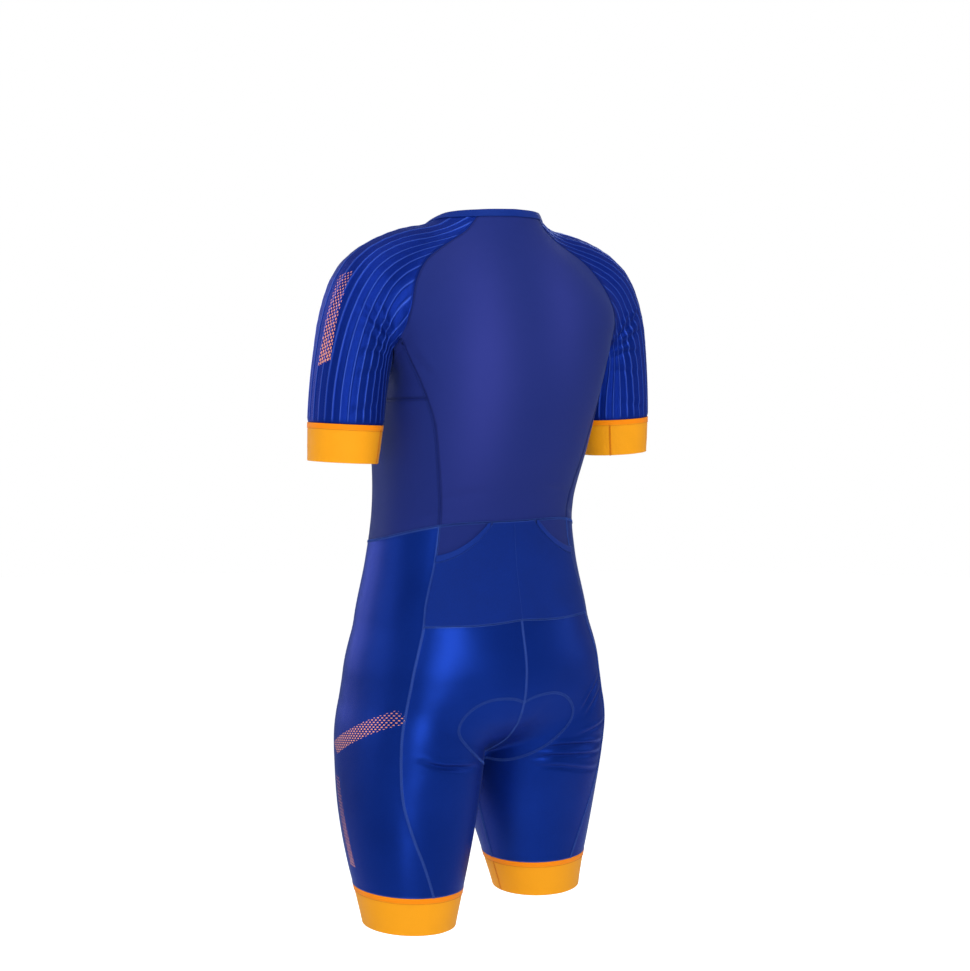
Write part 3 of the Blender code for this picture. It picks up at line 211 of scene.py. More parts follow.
# Number of mesh steps along each stretch of seam.
STEPS_FRONT = 6
STEPS_SIDE = 8
STEPS_BACK = 12
STEPS_GUSSET = 3
STEPS_SIDE_SEAM = 7
STEPS_HIP = 5
STEPS_CROTCH_BACK = 7
STEPS_INSEAM = 7
STEPS_SEAT = STEPS_BACK // 2
STEPS_SLEEVE = 8
RIBS_BACK_RAGLAN = 9
RIBS_NECK = 5
RIBS_FRONT_RAGLAN = 8
RIBS_UNDERARM = RIB_COUNT - RIBS_BACK_RAGLAN - RIBS_NECK - RIBS_FRONT_RAGLAN
POCKET_MOUTH_RUN = POCKET_MOUTH_STEPS / STEPS_BACK


# ---------------------------------------------------------------- curves and small vector helpers
def cubic(u, start, end, start_slope, end_slope):
    """A cubic from start to end with given slopes at both, at shares u of the way."""
    return ((2 * u**3 - 3 * u**2 + 1) * start + (u**3 - 2 * u**2 + u) * start_slope
            + (3 * u**2 - 2 * u**3) * end + (u**3 - u**2) * end_slope)


def smooth(knots, values, at):
    """Values between knots, along a cubic that passes through every one of them."""
    at = np.clip(at, knots[0], knots[-1])
    slopes = np.gradient(values, knots)
    low = np.clip(np.searchsorted(knots, at) - 1, 0, len(knots) - 2)
    span = knots[low + 1] - knots[low]
    return cubic((at - knots[low]) / span, values[low], values[low + 1], span * slopes[low],
                 span * slopes[low + 1])


def read(table, name, at):
    """One column of a table at given places along its first column."""
    first = next(iter(table))
    return smooth(table[first], table[name], at)


def ramp(value, start, end):
    """0 at start and 1 at end, with a soft turn at both."""
    u = np.clip((value - start) / (end - start), 0, 1)
    return u * u * (3 - 2 * u)


def unit(vectors):
    return vectors / np.maximum(np.linalg.norm(vectors, axis=-1, keepdims=True), 1e-12)


def run(points, axis=0):
    """Length from the first point along rows or columns to each point."""
    steps = np.linalg.norm(np.diff(points, axis=axis), axis=-1)
    start = np.zeros_like(np.take(steps, [0], axis=axis))
    return np.cumsum(np.concatenate([start, steps], axis=axis), axis=axis)


def spaced(points, steps):
    """The curve through rough points, cut into equal steps along its length."""
    points = np.asarray(points, float)
    knots = np.arange(len(points), dtype=float)
    fine = np.linspace(0, len(points) - 1, 400)
    curve = np.stack([smooth(knots, points[:, axis], fine) for axis in range(3)], axis=1)
    length = run(curve)
    at = np.linspace(0, length[-1], steps + 1)
    return np.stack([np.interp(at, length, curve[:, axis]) for axis in range(3)], axis=1)


def table_points(table):
    return np.stack([table["x"], table["y"], table["z"]], axis=1)


# ---------------------------------------------------------------- the figure
def blend(a, b, width):
    """Smaller of two distances, rounded where they are close."""
    share = np.clip(0.5 + 0.5 * (b - a) / width, 0, 1)
    return b + (a - b) * share - width * share * (1 - share)


def ring_distance(dx, dy, half_width, front, back, square):
    """Distance from a rounded section, measured outwards from its middle."""
    dx = np.where(np.abs(dx) + np.abs(dy) < 1e-6, 1e-6, dx)
    depth = np.where(dy < 0, front, back)
    reach = np.hypot(dx, dy) + 1e-9
    level = (np.abs(dx) / half_width) ** square + (np.abs(dy) / depth) ** square
    return reach - reach / np.maximum(level, 1e-12) ** (1 / square)


def past_end(table, z):
    """How far a height lies outside a table's rows."""
    return np.maximum(0, table["z"][0] - z) + np.maximum(0, z - table["z"][-1])


def trunk_distance(p):
    row = {name: read(TRUNK, name, p[..., 2]) for name in TRUNK if name != "z"}
    across, down = p[..., 1] / HOLLOW_REACH[0], (p[..., 2] - HOLLOW_CENTRE_Z) / HOLLOW_REACH[1]
    hollow = HOLLOW_DEPTH * np.exp(-across**2 - down**2) * ramp(np.abs(p[..., 0]), 0.06, 0.13)
    return hollow + past_end(TRUNK, p[..., 2]) + ring_distance(
        p[..., 0], p[..., 1] - row["centre_y"], row["half_width"], row["front"], row["back"], row["square"])


def leg_distance(p, side):
    row = {name: read(LEG, name, p[..., 2]) for name in LEG if name != "z"}
    return past_end(LEG, p[..., 2]) + ring_distance(
        p[..., 0] * side - row["centre_x"], p[..., 1] - row["centre_y"],
        row["half_width"], row["front"], row["back"], row["square"])


ARM_PLACES = np.linspace(0, len(ARM["place"]) - 1, ARM_STEPS + 1)
ARM_LINE = np.stack([read(ARM, axis, ARM_PLACES) for axis in "xyz"], axis=1)
ARM_RADII = read(ARM, "radius", ARM_PLACES)


def arm_distance(p):
    """Distance from the nearer arm, which is a tube round its middle line."""
    p = np.concatenate([np.abs(p[..., :1]), p[..., 1:]], axis=-1)
    nearest = np.full(p.shape[:-1], 1.0)
    for step in range(ARM_STEPS):
        start, along = ARM_LINE[step], ARM_LINE[step + 1] - ARM_LINE[step]
        u = np.clip((p - start) @ along / (along @ along), 0, 1)
        radius = ARM_RADII[step] + u * (ARM_RADII[step + 1] - ARM_RADII[step])
        away = np.linalg.norm(p - start - u[..., None] * along, axis=-1) - radius
        nearest = np.minimum(nearest, away)
    return nearest


def figure(p, part="trunk"):
    """Distance from the figure. Below the armpit a part leaves out what hangs beside it."""
    trunk, arm = trunk_distance(p), arm_distance(p)
    apart = ARMPIT_CLEARANCE * ramp(-p[..., 2], -ARMPIT_TOP, -ARMPIT_OPEN)
    if part == "sleeve":
        return blend(trunk + apart, arm, SHOULDER_BLEND)
    legs = blend(leg_distance(p, 1), leg_distance(p, -1), CROTCH_BLEND)
    return blend(blend(trunk, legs, HIP_BLEND), arm + apart, SHOULDER_BLEND)


def slope(p, part="trunk"):
    """How fast the distance grows along each axis."""
    small = 0.0004
    grown = [figure(p + small * axis, part) - figure(p - small * axis, part) for axis in np.eye(3)]
    return np.stack(grown, axis=-1) / (2 * small)


def onto(p, parts=("trunk",), rounds=14):
    """Points brought onto the figure the shortest way, or onto the curve where two parts meet."""
    p = np.array(p, float)
    for _ in range(rounds * len(parts)):
        for part in parts:
            grown = slope(p, part)
            steep = np.maximum((grown**2).sum(-1, keepdims=True), 0.05)
            p = p - np.clip(figure(p, part)[..., None] * grown / steep, -0.02, 0.02)
    return p


# ---------------------------------------------------------------- coordinates round a middle line
def round_trunk(points):
    y = points[..., 1] - read(TRUNK, "centre_y", points[..., 2])
    return np.stack([np.arctan2(points[..., 0], -y), points[..., 2], np.hypot(points[..., 0], y)], axis=-1)


def from_trunk(places):
    angle, z, radius = places[..., 0], places[..., 1], places[..., 2]
    centre = read(TRUNK, "centre_y", z)
    return np.stack([radius * np.sin(angle), centre - radius * np.cos(angle), z], axis=-1)


def half_middle(z):
    """Middle line of the left half of the shorts, which becomes the leg's middle line."""
    leg = read(LEG, "centre_x", z)
    above = read(HALF_MIDDLE, "x", z)
    share = ramp(-z, 0.690, 0.710)
    return above + (leg - above) * share, read(LEG, "centre_y", z)


def round_leg(points):
    x, y = half_middle(points[..., 2])
    dx, dy = points[..., 0] - x, points[..., 1] - y
    angle = np.arctan2(dx, -dy)
    return np.stack([angle, points[..., 2], np.hypot(dx, dy)], axis=-1)


def from_leg(places):
    angle, z, radius = places[..., 0], places[..., 1], places[..., 2]
    x, y = half_middle(z)
    return np.stack([x + radius * np.sin(angle), y - radius * np.cos(angle), z], axis=-1)


def arm_frame(place):
    """A point of the arm's middle line, the way along it, and the way out across it."""
    point = np.stack([read(ARM, axis, place) for axis in "xyz"], axis=-1)
    ahead = np.stack([read(ARM, axis, place + 0.02) for axis in "xyz"], axis=-1)
    behind = np.stack([read(ARM, axis, place - 0.02) for axis in "xyz"], axis=-1)
    along = unit(ahead - behind)
    fore = np.broadcast_to(np.array([0.0, 1.0, 0.0]), along.shape)
    out = unit(np.cross(fore, along))
    return point, along, -out


def round_arm(points):
    """Place along the arm, angle round it (0 outwards and up, 90 degrees to the back), radius."""
    places = np.linspace(0, len(ARM["place"]) - 1, 361)
    line, along, _ = arm_frame(places)
    flat = points.reshape(-1, 3)
    result = []
    for point in flat:
        ahead = ((point - line) * along).sum(-1)
        crossing = np.nonzero((ahead[:-1] > 0) & (ahead[1:] <= 0))[0]
        if len(crossing) == 0:
            place = places[0] if ahead[0] <= 0 else places[-1]
        else:
            best = min(crossing, key=lambda k: np.linalg.norm(point - line[k]))
            share = ahead[best] / (ahead[best] - ahead[best + 1])
            place = places[best] + share * (places[best + 1] - places[best])
        middle, _, out = arm_frame(np.array(place))
        away = point - middle
        result.append((place, math.atan2(away[1], away @ out), np.linalg.norm(away)))
    return np.array(result).reshape(points.shape)


def from_arm(places):
    middle, along, out = arm_frame(places[..., 0])
    fore = unit(np.cross(along, out))
    fore = fore * np.sign(fore[..., 1:2])
    angle, radius = places[..., 1:2], places[..., 2:3]
    return middle + radius * (np.cos(angle) * out + np.sin(angle) * fore)


# ---------------------------------------------------------------- seams of the left half
def leaving(path, nearest, farthest, count):
    """Points where paths from inside the figure first leave it: probed, then found by halving."""
    probe = np.linspace(nearest, farthest, count)
    inside = np.stack([figure(path(reach)) < 0 for reach in probe])
    first = np.argmin(inside, axis=0)
    low, high = probe[np.maximum(first - 1, 0)], probe[first]
    for _ in range(26):
        middle = (low + high) / 2
        within = figure(path(middle)) < 0
        low, high = np.where(within, middle, low), np.where(within, high, middle)
    return path(high)


def ring_at(angles, heights, back=from_trunk):
    """Points of the figure at angles round a middle line, in degrees, and at given heights."""
    places = np.stack([np.radians(angles), heights], axis=-1)

    def path(radius):
        return back(np.insert(places, 2, radius, axis=-1))
    return leaving(path, 0.01, 0.30, 59)


def cast(origin, toward, reach):
    """Points where rays from inside the figure first leave it."""
    toward = unit(toward)
    return leaving(lambda step: origin + np.asarray(step)[..., None] * toward, 0.005, reach, 60)


def neckline(angles, lift=0.0):
    """Points of the neckline at angles round it, or a little above it along the figure."""
    angles = np.asarray(angles, float)
    turned = np.radians(angles)
    from_front = np.abs((angles + 180) % 360 - 180)
    pitch = np.radians(read(NECK_PITCH, "pitch", from_front) + lift)
    toward = np.stack([np.sin(turned), -np.cos(turned), np.tan(pitch)], axis=-1)
    return cast(np.array([0.0, 0.0, NECK_CENTRE_Z]), toward, 0.16)


def crotch_line(angles):
    """Points of the middle plane, in given directions from the crotch centre."""
    angles = np.radians(np.asarray(angles, float))
    toward = np.stack([np.zeros(len(angles)), np.cos(angles), np.sin(angles)], axis=-1)
    return cast(np.array([0.0, CROTCH_CENTRE[0], CROTCH_CENTRE[1]]), toward, 0.26)


def angle_of(point):
    """Direction from the crotch centre to a point of the middle plane, in degrees."""
    return math.degrees(math.atan2(point[2] - CROTCH_CENTRE[1], point[1] - CROTCH_CENTRE[0]))


@functools.cache
def all_seams():
    """Every seam of the left half, each cut into its own number of steps. They are found once."""
    seams = {}
    neck_front, neck_back = neckline([FRONT_RAGLAN_ANGLE])[0], neckline([BACK_RAGLAN_ANGLE])[0]
    both = ("trunk", "sleeve")
    back_rough = onto(np.vstack([[neck_back], table_points(BACK_RAGLAN)]), both, 8)
    front_rough = onto(np.vstack([[neck_front], table_points(FRONT_RAGLAN)]), both, 8)
    under_rough = onto(table_points(UNDERARM), both, 30)
    back_corner, front_corner = back_rough[-1], front_rough[-1]
    under_rough = np.vstack([[back_corner], under_rough, [front_corner]])
    seams["back_raglan"] = onto(spaced(back_rough, RIBS_BACK_RAGLAN), both, 8)
    seams["front_raglan"] = onto(spaced(front_rough, RIBS_FRONT_RAGLAN), both, 8)
    seams["underarm"] = onto(spaced(under_rough, RIBS_UNDERARM), both, 30)

    # The back side seam and the front side seam, cut where the gusset's lower seam meets them.
    for name, table, corner in (("back_side", BACK_SIDE_SEAM, back_corner),
                                ("front_side", FRONT_SIDE_SEAM, front_corner)):
        rough = np.vstack([[corner], ring_at(table["angle"][::-1], table["z"][::-1])])
        dense = spaced(rough, 200)
        at = int(np.argmin(np.abs(dense[:, 2] - GUSSET_SEAM_Z)))
        seams[name + "_gusset"] = onto(spaced(dense[: at + 1], STEPS_GUSSET))
        seams[name] = onto(spaced(dense[at:], STEPS_SIDE_SEAM))
        seams[name][0] = seams[name + "_gusset"][-1]

    # The waist seam: middle front, zip's edge, front side seam, back side seam, round to the right.
    front_angle = math.degrees(round_trunk(seams["front_side"][-1])[0])
    back_angle = math.degrees(round_trunk(seams["back_side"][-1])[0])
    zip_angle = math.degrees(math.asin(ZIP_HALF_WIDTH / 0.135))
    stretches = (("waist_zip", 0, zip_angle, 1), ("waist_front", zip_angle, front_angle, STEPS_FRONT),
                 ("waist_side", front_angle, back_angle, STEPS_SIDE),
                 ("waist_back", back_angle, 360 - back_angle, STEPS_BACK))
    for name, start, end, steps in stretches:
        angles = np.linspace(start, end, steps + 1)
        heights = read(WAIST_SEAM, "z", np.where(angles > 180, 360 - angles, angles))
        seams[name] = ring_at(angles, heights)
    seams["back_side"][-1] = seams["waist_side"][-1]
    seams["front_side"][-1] = seams["waist_front"][-1]

    # Down the zip's edge, at a constant distance from the middle.
    zip_rows = STEPS_SIDE_SEAM + STEPS_GUSSET + RIBS_FRONT_RAGLAN
    neck_angle = math.degrees(math.asin(ZIP_HALF_WIDTH / NECK_FRONT_REACH))
    seams["neck_zip_angle"] = neck_angle
    top = neckline([neck_angle])[0]
    heights = np.linspace(top[2], seams["waist_front"][0][2], zip_rows + 1)
    for name, x in (("zip_edge", ZIP_HALF_WIDTH), ("coil_edge", COIL_HALF_WIDTH), ("zip_middle", 0.0)):
        inside = np.stack([np.full(zip_rows + 1, x), np.zeros(zip_rows + 1), heights], axis=-1)
        seams[name] = cast(inside, np.array([0.0, -1.0, 0.0]), 0.2)
    seams["zip_edge"][-1] = seams["waist_front"][0]
    seams["zip_edge"][0] = top

    # Legs: side seams from the waist to the hem seam, crotch seam and inseam.
    hip_angle_back = 130.0
    for name, table, top in (("back_leg", BACK_LEG_SEAM, seams["waist_side"][-1]),
                             ("front_leg", FRONT_LEG_SEAM, seams["waist_front"][-1])):
        rough = ring_at(table["angle"][::-1], table["z"][::-1], from_leg)
        rough[0] = top
        end_angle = math.degrees(round_leg(rough[-1])[0])
        rough[-1] = hem_points([end_angle], HEM_SEAM_Z)[0]
        dense = spaced(rough, 300)
        if name == "back_leg":
            at = int(np.argmin(np.abs(dense[:, 2] - read(HIP_SEAM, "z", hip_angle_back))))
            seams["back_hip"] = onto(spaced(dense[: at + 1], STEPS_HIP))
            seams["back_leg"] = onto(spaced(dense[at:], STEPS_CROTCH_BACK + STEPS_INSEAM))
            seams["back_leg"][0] = seams["back_hip"][-1]
            seams["back_hip"][0] = top
        else:
            rows = STEPS_HIP + STEPS_CROTCH_BACK + STEPS_INSEAM
            seams["front_leg"] = onto(spaced(dense, rows))
            seams["front_leg"][0] = top
        seams[name][-1] = rough[-1]
    corner = seams["back_leg"][0]
    hip_start = math.degrees(round_trunk(corner)[0])
    angles = np.linspace(hip_start, 360 - hip_start, STEPS_BACK + 1)
    from_front = np.where(angles > 180, 360 - angles, angles)
    heights = read(HIP_SEAM, "z", from_front) + corner[2] - read(HIP_SEAM, "z", hip_start)
    seams["hip"] = ring_at(angles, heights)
    seams["hip"][0] = corner
    seams["hip"][-1] = corner * [-1, 1, 1]

    hip_middle = seams["hip"][STEPS_BACK // 2]
    waist_middle = seams["waist_zip"][0]
    seams["crotch_back"] = crotch_line(np.linspace(angle_of(hip_middle), CROTCH_LOW_ANGLE,
                                                   STEPS_CROTCH_BACK + 1))
    front_steps = STEPS_HIP + STEPS_CROTCH_BACK
    front_start = angle_of(waist_middle) - 360
    seams["crotch_front"] = crotch_line(np.linspace(front_start, CROTCH_LOW_ANGLE, front_steps + 1))
    low = seams["crotch_back"][-1]
    end = hem_points([-90], HEM_SEAM_Z)[0]
    heights = np.linspace(low[2], end[2], STEPS_INSEAM + 1)[1:]
    inseam = ring_at(np.full(STEPS_INSEAM, -90.0), heights, from_leg)
    seams["inseam"] = np.vstack([[low], inseam])
    seams["inseam"][-1] = end

    # The hem seam round the leg: seat panel, side panel and front panel, in one turn.
    back_angle = math.degrees(round_leg(seams["back_leg"][-1])[0])
    front_angle = math.degrees(round_leg(seams["front_leg"][-1])[0])
    seams["hem_angles"] = np.concatenate([
        np.linspace(-90, front_angle, STEPS_FRONT + 2),
        np.linspace(front_angle, back_angle, STEPS_SIDE + 1)[1:],
        np.linspace(back_angle, 270, STEPS_SEAT + 1)[1:]])

    # The gusset's lower seam, from the front side seam to the back one.
    ends = [seams[name][-1] for name in ("front_side_gusset", "back_side_gusset")]
    angles = np.linspace(*(math.degrees(round_trunk(end)[0]) for end in ends), STEPS_SIDE + 1)
    seams["gusset_low"] = ring_at(angles, np.linspace(ends[0][2], ends[1][2], STEPS_SIDE + 1))
    return seams


def hem_points(angles, middle_z):
    """Points round the leg where a plane across its middle line meets it."""
    angles = np.asarray(angles, float)
    heights = np.full(len(angles), middle_z)
    for _ in range(6):
        ring = ring_at(angles, heights, from_leg)
        heights = middle_z + HEM_TILT * (ring[:, 0] - read(LEG, "centre_x", middle_z))
    return ring_at(angles, heights, from_leg)


# ---------------------------------------------------------------- panels
def between(top, bottom, left, right, forward=round_trunk, back=from_trunk):
    """Grid between four seams, laid round a middle line and brought onto the figure."""
    sides = [forward(np.asarray(side)) for side in (top, bottom, left, right)]
    for side in sides:
        side[:, 0] = np.unwrap(side[:, 0])
        side[:, 0] += 2 * math.pi * np.round((sides[0][0, 0] - side[0, 0]) / (2 * math.pi))
    top_, bottom_, left_, right_ = sides
    u = np.linspace(0, 1, len(top_))[None, :, None]
    v = np.linspace(0, 1, len(left_))[:, None, None]
    ruled = (1 - v) * top_[None] + v * bottom_[None] + (1 - u) * left_[:, None] + u * right_[:, None]
    corners = ((1 - u) * (1 - v) * top_[0] + u * (1 - v) * top_[-1]
               + (1 - u) * v * bottom_[0] + u * v * bottom_[-1])
    grid = onto(back(ruled - corners))
    grid[0], grid[-1], grid[:, 0], grid[:, -1] = top, bottom, left, right
    return grid


def inset(grid, closed=False, gap=SEAM_GAP):
    """The grid with its edges drawn in by half the seam gap."""
    grid = grid.copy()
    half = gap / 2
    for edge, inner in ((0, 1), (-1, -2)):
        grid[edge] += half * unit(grid[inner] - grid[edge])
    if not closed:
        for edge, inner in ((0, 1), (-1, -2)):
            grid[:, edge] += half * unit(grid[:, inner] - grid[:, edge])
    return grid


def posed(points):
    """The standing pose: the left leg a little back, the right leg ahead and its hem turned."""
    x, down = points[..., 0], -points[..., 2]
    moved = points.copy()
    moved[..., 1] += STRIDE * ramp(down, 0.600, 0.900) * x / 0.110
    moved[..., 2] -= SIDE_LEAN * x
    moved[..., 2] += np.where(x < 0, RIGHT_HEM_TURN * ramp(down, 0.700, 0.850) * (x + 0.135), 0)
    return moved


def mirrored(points):
    return np.asarray(points) * [-1, 1, 1]


def mouth_share(across):
    """Height of the pocket's mouth above the hip seam, as a share, at places across the back."""
    from_edge = np.minimum(across, 1 - across)
    rise = np.clip(from_edge / POCKET_MOUTH_RUN, 0, 1) ** POCKET_MOUTH_POWER
    return POCKET_MOUTH_LOW + (1 - POCKET_MOUTH_LOW) * rise


def grid_at(grid, across, down):
    """Points of a grid at shares across and down it."""
    rows, wide = grid.shape[0] - 1, grid.shape[1] - 1
    a, d = np.clip(across, 0, 1) * wide, np.clip(down, 0, 1) * rows
    i, j = np.minimum(d.astype(int), rows - 1), np.minimum(a.astype(int), wide - 1)
    s, t = (d - i)[..., None], (a - j)[..., None]
    flat = ((1 - s) * (1 - t) * grid[i, j] + s * (1 - t) * grid[i + 1, j]
            + (1 - s) * t * grid[i, j + 1] + s * t * grid[i + 1, j + 1])
    return flat


# ---------------------------------------------------------------- sizes and colours a user may change
def length_property(name, description, default, low=0.0, high=1.0):
    return bpy.props.FloatProperty(name=name, description=description, default=default, min=low, max=high,
                                   precision=5, subtype="DISTANCE", unit="LENGTH")


def colour_property(name, description, default):
    return bpy.props.FloatVectorProperty(name=name, description=description, default=default, size=3,
                                         min=0.0, max=1.0, subtype="COLOR")


class SuitSizes(bpy.types.PropertyGroup):
    """Sizes of the cloth, its ribs and its thread."""
    cloth: length_property("Cloth thickness", "Thickness of the single cloth", 0.0008)
    step: length_property("Lattice step", "Distance between two points of a panel", 0.0034, 0.001, 0.02)
    rib_step: length_property("Ribbed lattice step", "Distance between two points round a sleeve", 0.00112,
                              0.0005, 0.02)
    rib_height: length_property("Rib height", "How far a raised line of the sleeve stands proud", 0.0009)
    rib_width: length_property("Rib width", "Width of a raised line of the sleeve", 0.0022)
    thread: length_property("Thread thickness", "Thickness of the sewing thread", 0.0004)
    flatlock_width: length_property("Flatlock width", "Width of the covered seams of the shorts", 0.0036)
    flatlock_pitch: length_property("Flatlock pitch", "Distance between two cross threads", 0.00115)
    stitch_pitch: length_property("Stitch pitch", "Distance between two plain stitches", 0.0030)
    row_gap: length_property("Row distance", "Distance of a stitch row from its seam", 0.0021)
    coil_pitch: length_property("Coil pitch", "Distance between two turns of the zip's coil", 0.0012)


class SuitColours(bpy.types.PropertyGroup):
    """Colours of the cloths, bindings and threads."""
    # On the back panel the light mesh colour stands where the mesh is stretched and where painted light
    # falls, and the dark one stands in the hollow and in painted shade.
    mesh_light: colour_property("Mesh, light", "Stretched mesh knit of the upper body", (0.036, 0.046, 0.275))
    mesh_dark: colour_property("Mesh, dark", "Relaxed mesh knit of the upper body", (0.005, 0.015, 0.120))
    lycra_light: colour_property("Lycra, light", "Satin knit of the shorts", (0.006, 0.034, 0.300))
    lycra_dark: colour_property("Lycra, dark", "Satin knit of the shorts in its grain", (0.002, 0.016, 0.170))
    sleeve: colour_property("Sleeve", "Ribbed knit of the sleeves", (0.004, 0.020, 0.260))
    # Sleeve rib: painted highlight on the crests of the sleeve's raised lines.
    rib: colour_property("Sleeve rib", "Crests of the sleeve's raised lines", (0.060, 0.140, 0.700))
    binding: colour_property("Binding", "Folded bindings of the neck and pocket", (0.010, 0.036, 0.270))
    cuff: colour_property("Cuff", "Elastic gripper bands", (1.000, 0.390, 0.010))
    cuff_strip: colour_property("Cuff strip", "Doubled strip along the top of a cuff", (1.000, 0.270, 0.004))
    print_mark: colour_property("Printed marks", "Printed marks of sleeve and thigh", (1.000, 0.400, 0.240))
    seam_light: colour_property("Flatlock thread", "Thread of the shorts' seams", (0.042, 0.100, 0.460))
    seam_dark: colour_property("Cover thread", "Thread of the upper body's seams", (0.006, 0.012, 0.110))
    pad: colour_property("Seat pad", "Brushed knit of the seat pad", (0.020, 0.025, 0.060))
    metal: colour_property("Zip slider", "Paint of the zip's slider and pull", (0.020, 0.040, 0.180))


class SuitStage(bpy.types.PropertyGroup):
    """The floor and the studio's lights."""
    floor_z: bpy.props.FloatProperty(name="Floor height", description="Height of the studio floor",
                                     default=-1.55, subtype="DISTANCE", unit="LENGTH")
    key: bpy.props.FloatProperty(name="Key light", description="Power of the large soft light", default=49.0,
                                 min=0.0, subtype="POWER", unit="POWER")
    fill: bpy.props.FloatProperty(name="Fill light", description="Power of the light on the other side",
                                  default=30.0, min=0.0, subtype="POWER", unit="POWER")
    room: bpy.props.FloatProperty(name="Room light", description="Strength of the light all round",
                                  default=0.34, min=0.0)
    glow: bpy.props.FloatProperty(name="Floor glow", description="How far the floor is lifted to white",
                                  default=0.74, min=0.0)


# ---------------------------------------------------------------- creases
# Each crease is a soft trough along rough points of the figure, before the stance. Depth and width are
# in metres, and ridge is the share of the depth that the cloth rises beside it, on the upper side.
CREASES_ALONE = (
    (((0.132, 0.056, -0.679), (0.110, 0.066, -0.688), (0.085, 0.066, -0.692), (0.054, 0.056, -0.696)),
     0.0048, 0.0034, 0.50),
    (((-0.056, 0.057, -0.686), (-0.075, 0.065, -0.685), (-0.110, 0.062, -0.687), (-0.150, 0.046, -0.691)),
     0.0040, 0.0030, 0.70),
    (((-0.044, 0.047, -0.697), (-0.075, 0.063, -0.698), (-0.150, 0.046, -0.704)), 0.0034, 0.0028, 0.70),
    (((-0.045, 0.050, -0.709), (-0.085, 0.063, -0.715), (-0.150, 0.042, -0.728)), 0.0028, 0.0030, 0.60),
    (((-0.100, 0.062, -0.672), (-0.125, 0.058, -0.668), (-0.152, 0.044, -0.662)), 0.0018, 0.0028, 0.60),
    (((-0.138, 0.056, -0.600), (-0.118, 0.070, -0.620), (-0.102, 0.073, -0.640)), 0.0018, 0.0028, 0.60),
    (((-0.146, 0.048, -0.612), (-0.126, 0.064, -0.630), (-0.108, 0.070, -0.650)), 0.0014, 0.0028, 0.60),
)
CREASES_BOTH_SIDES = (
    (((0.212, 0.046, -0.118), (0.198, 0.058, -0.134), (0.180, 0.056, -0.152)), 0.0032, 0.0034, 0.70),
    (((0.198, 0.056, -0.118), (0.186, 0.060, -0.138), (0.170, 0.052, -0.162)), 0.0030, 0.0032, 0.60),
    (((0.214, 0.044, -0.146), (0.198, 0.052, -0.152), (0.178, 0.052, -0.168)), 0.0028, 0.0034, 0.60),
    (((0.208, 0.040, -0.176), (0.190, 0.046, -0.174), (0.172, 0.044, -0.182)), 0.0024, 0.0036, 0.50),
    (((0.210, 0.034, -0.204), (0.194, 0.042, -0.200), (0.176, 0.040, -0.198)), 0.0014, 0.0040, 0.50),
    (((0.150, 0.066, -0.146), (0.156, 0.056, -0.166), (0.160, 0.040, -0.180)), 0.0018, 0.0034, 0.50),
    (((0.146, 0.064, -0.170), (0.136, 0.070, -0.190), (0.122, 0.080, -0.212)), 0.0012, 0.0050, 0.40),
    (((0.200, -0.046, -0.122), (0.186, -0.056, -0.140), (0.170, -0.050, -0.160)), 0.0028, 0.0034, 0.60),
    (((0.210, -0.042, -0.148), (0.192, -0.050, -0.156), (0.174, -0.046, -0.172)), 0.0022, 0.0034, 0.60),
    (((0.150, -0.062, -0.160), (0.120, -0.090, -0.176), (0.096, -0.104, -0.188)), 0.0018, 0.0060, 0.40),
    (((0.014, -0.130, -0.374), (0.060, -0.128, -0.380), (0.115, -0.100, -0.388)), 0.0014, 0.0055, 0.50),
    (((0.020, -0.132, -0.404), (0.070, -0.130, -0.402), (0.128, -0.090, -0.402)), 0.0012, 0.0050, 0.50),
    (((0.046, -0.118, -0.670), (0.078, -0.128, -0.656), (0.120, -0.112, -0.628)), 0.0026, 0.0050, 0.45),
    (((0.044, -0.104, -0.692), (0.082, -0.122, -0.688), (0.132, -0.098, -0.672)), 0.0020, 0.0046, 0.45),
    (((0.060, -0.134, -0.560), (0.095, -0.128, -0.548), (0.132, -0.102, -0.530)), 0.0012, 0.0060, 0.40),
    (((0.150, 0.050, -0.392), (0.128, 0.044, -0.384), (0.100, 0.060, -0.378)), 0.0012, 0.0050, 0.40),
    (((0.040, 0.076, -0.352), (0.075, 0.070, -0.358), (0.105, 0.055, -0.362)), 0.0010, 0.0060, 0.40),
    (((0.222, 0.030, -0.250), (0.205, 0.044, -0.246), (0.180, 0.040, -0.240)), 0.0012, 0.0045, 0.40),
)


# ---------------------------------------------------------------- fine sheets
def through(values, at, corners=True):
    """Rows at places between the given ones, along a cubic that passes through every one of them.
    With corners kept it never swings past a row, so a corner of a seam stays a corner."""
    steps = np.diff(values, axis=0)
    before, after = steps[:-1], steps[1:]
    both = before + after
    turning = (before * after <= 0) | (np.abs(both) < 1e-12)
    inner = np.where(turning, 0, 2 * before * after / np.where(turning, 1, both))
    slopes = np.concatenate([steps[:1], inner if corners else both / 2, steps[-1:]])
    low = np.clip(at.astype(int), 0, len(values) - 2)
    u = (at - low).reshape((-1,) + (1,) * (values.ndim - 1))
    return cubic(u, values[low], values[low + 1], slopes[low], slopes[low + 1])


HEM_PLACES = (0.0, 0.0008, 0.0016, 0.0026, 0.0040)       # lattice lines beside a seam, from its edge


def lines_across(length, step, last):
    """Places along an edge with a number of points, evenly spaced but closer beside both of its ends."""
    count = max(2, round((length - 2 * HEM_PLACES[-1]) / step))
    places = np.linspace(HEM_PLACES[-1], length - HEM_PLACES[-1], count + 1)
    if length > 6 * HEM_PLACES[-1]:
        places = np.concatenate([HEM_PLACES[:-1], places, length - np.array(HEM_PLACES[-2::-1])])
    else:
        places = np.linspace(0, length, max(2, round(length / step)) + 1)
    return places / length * last


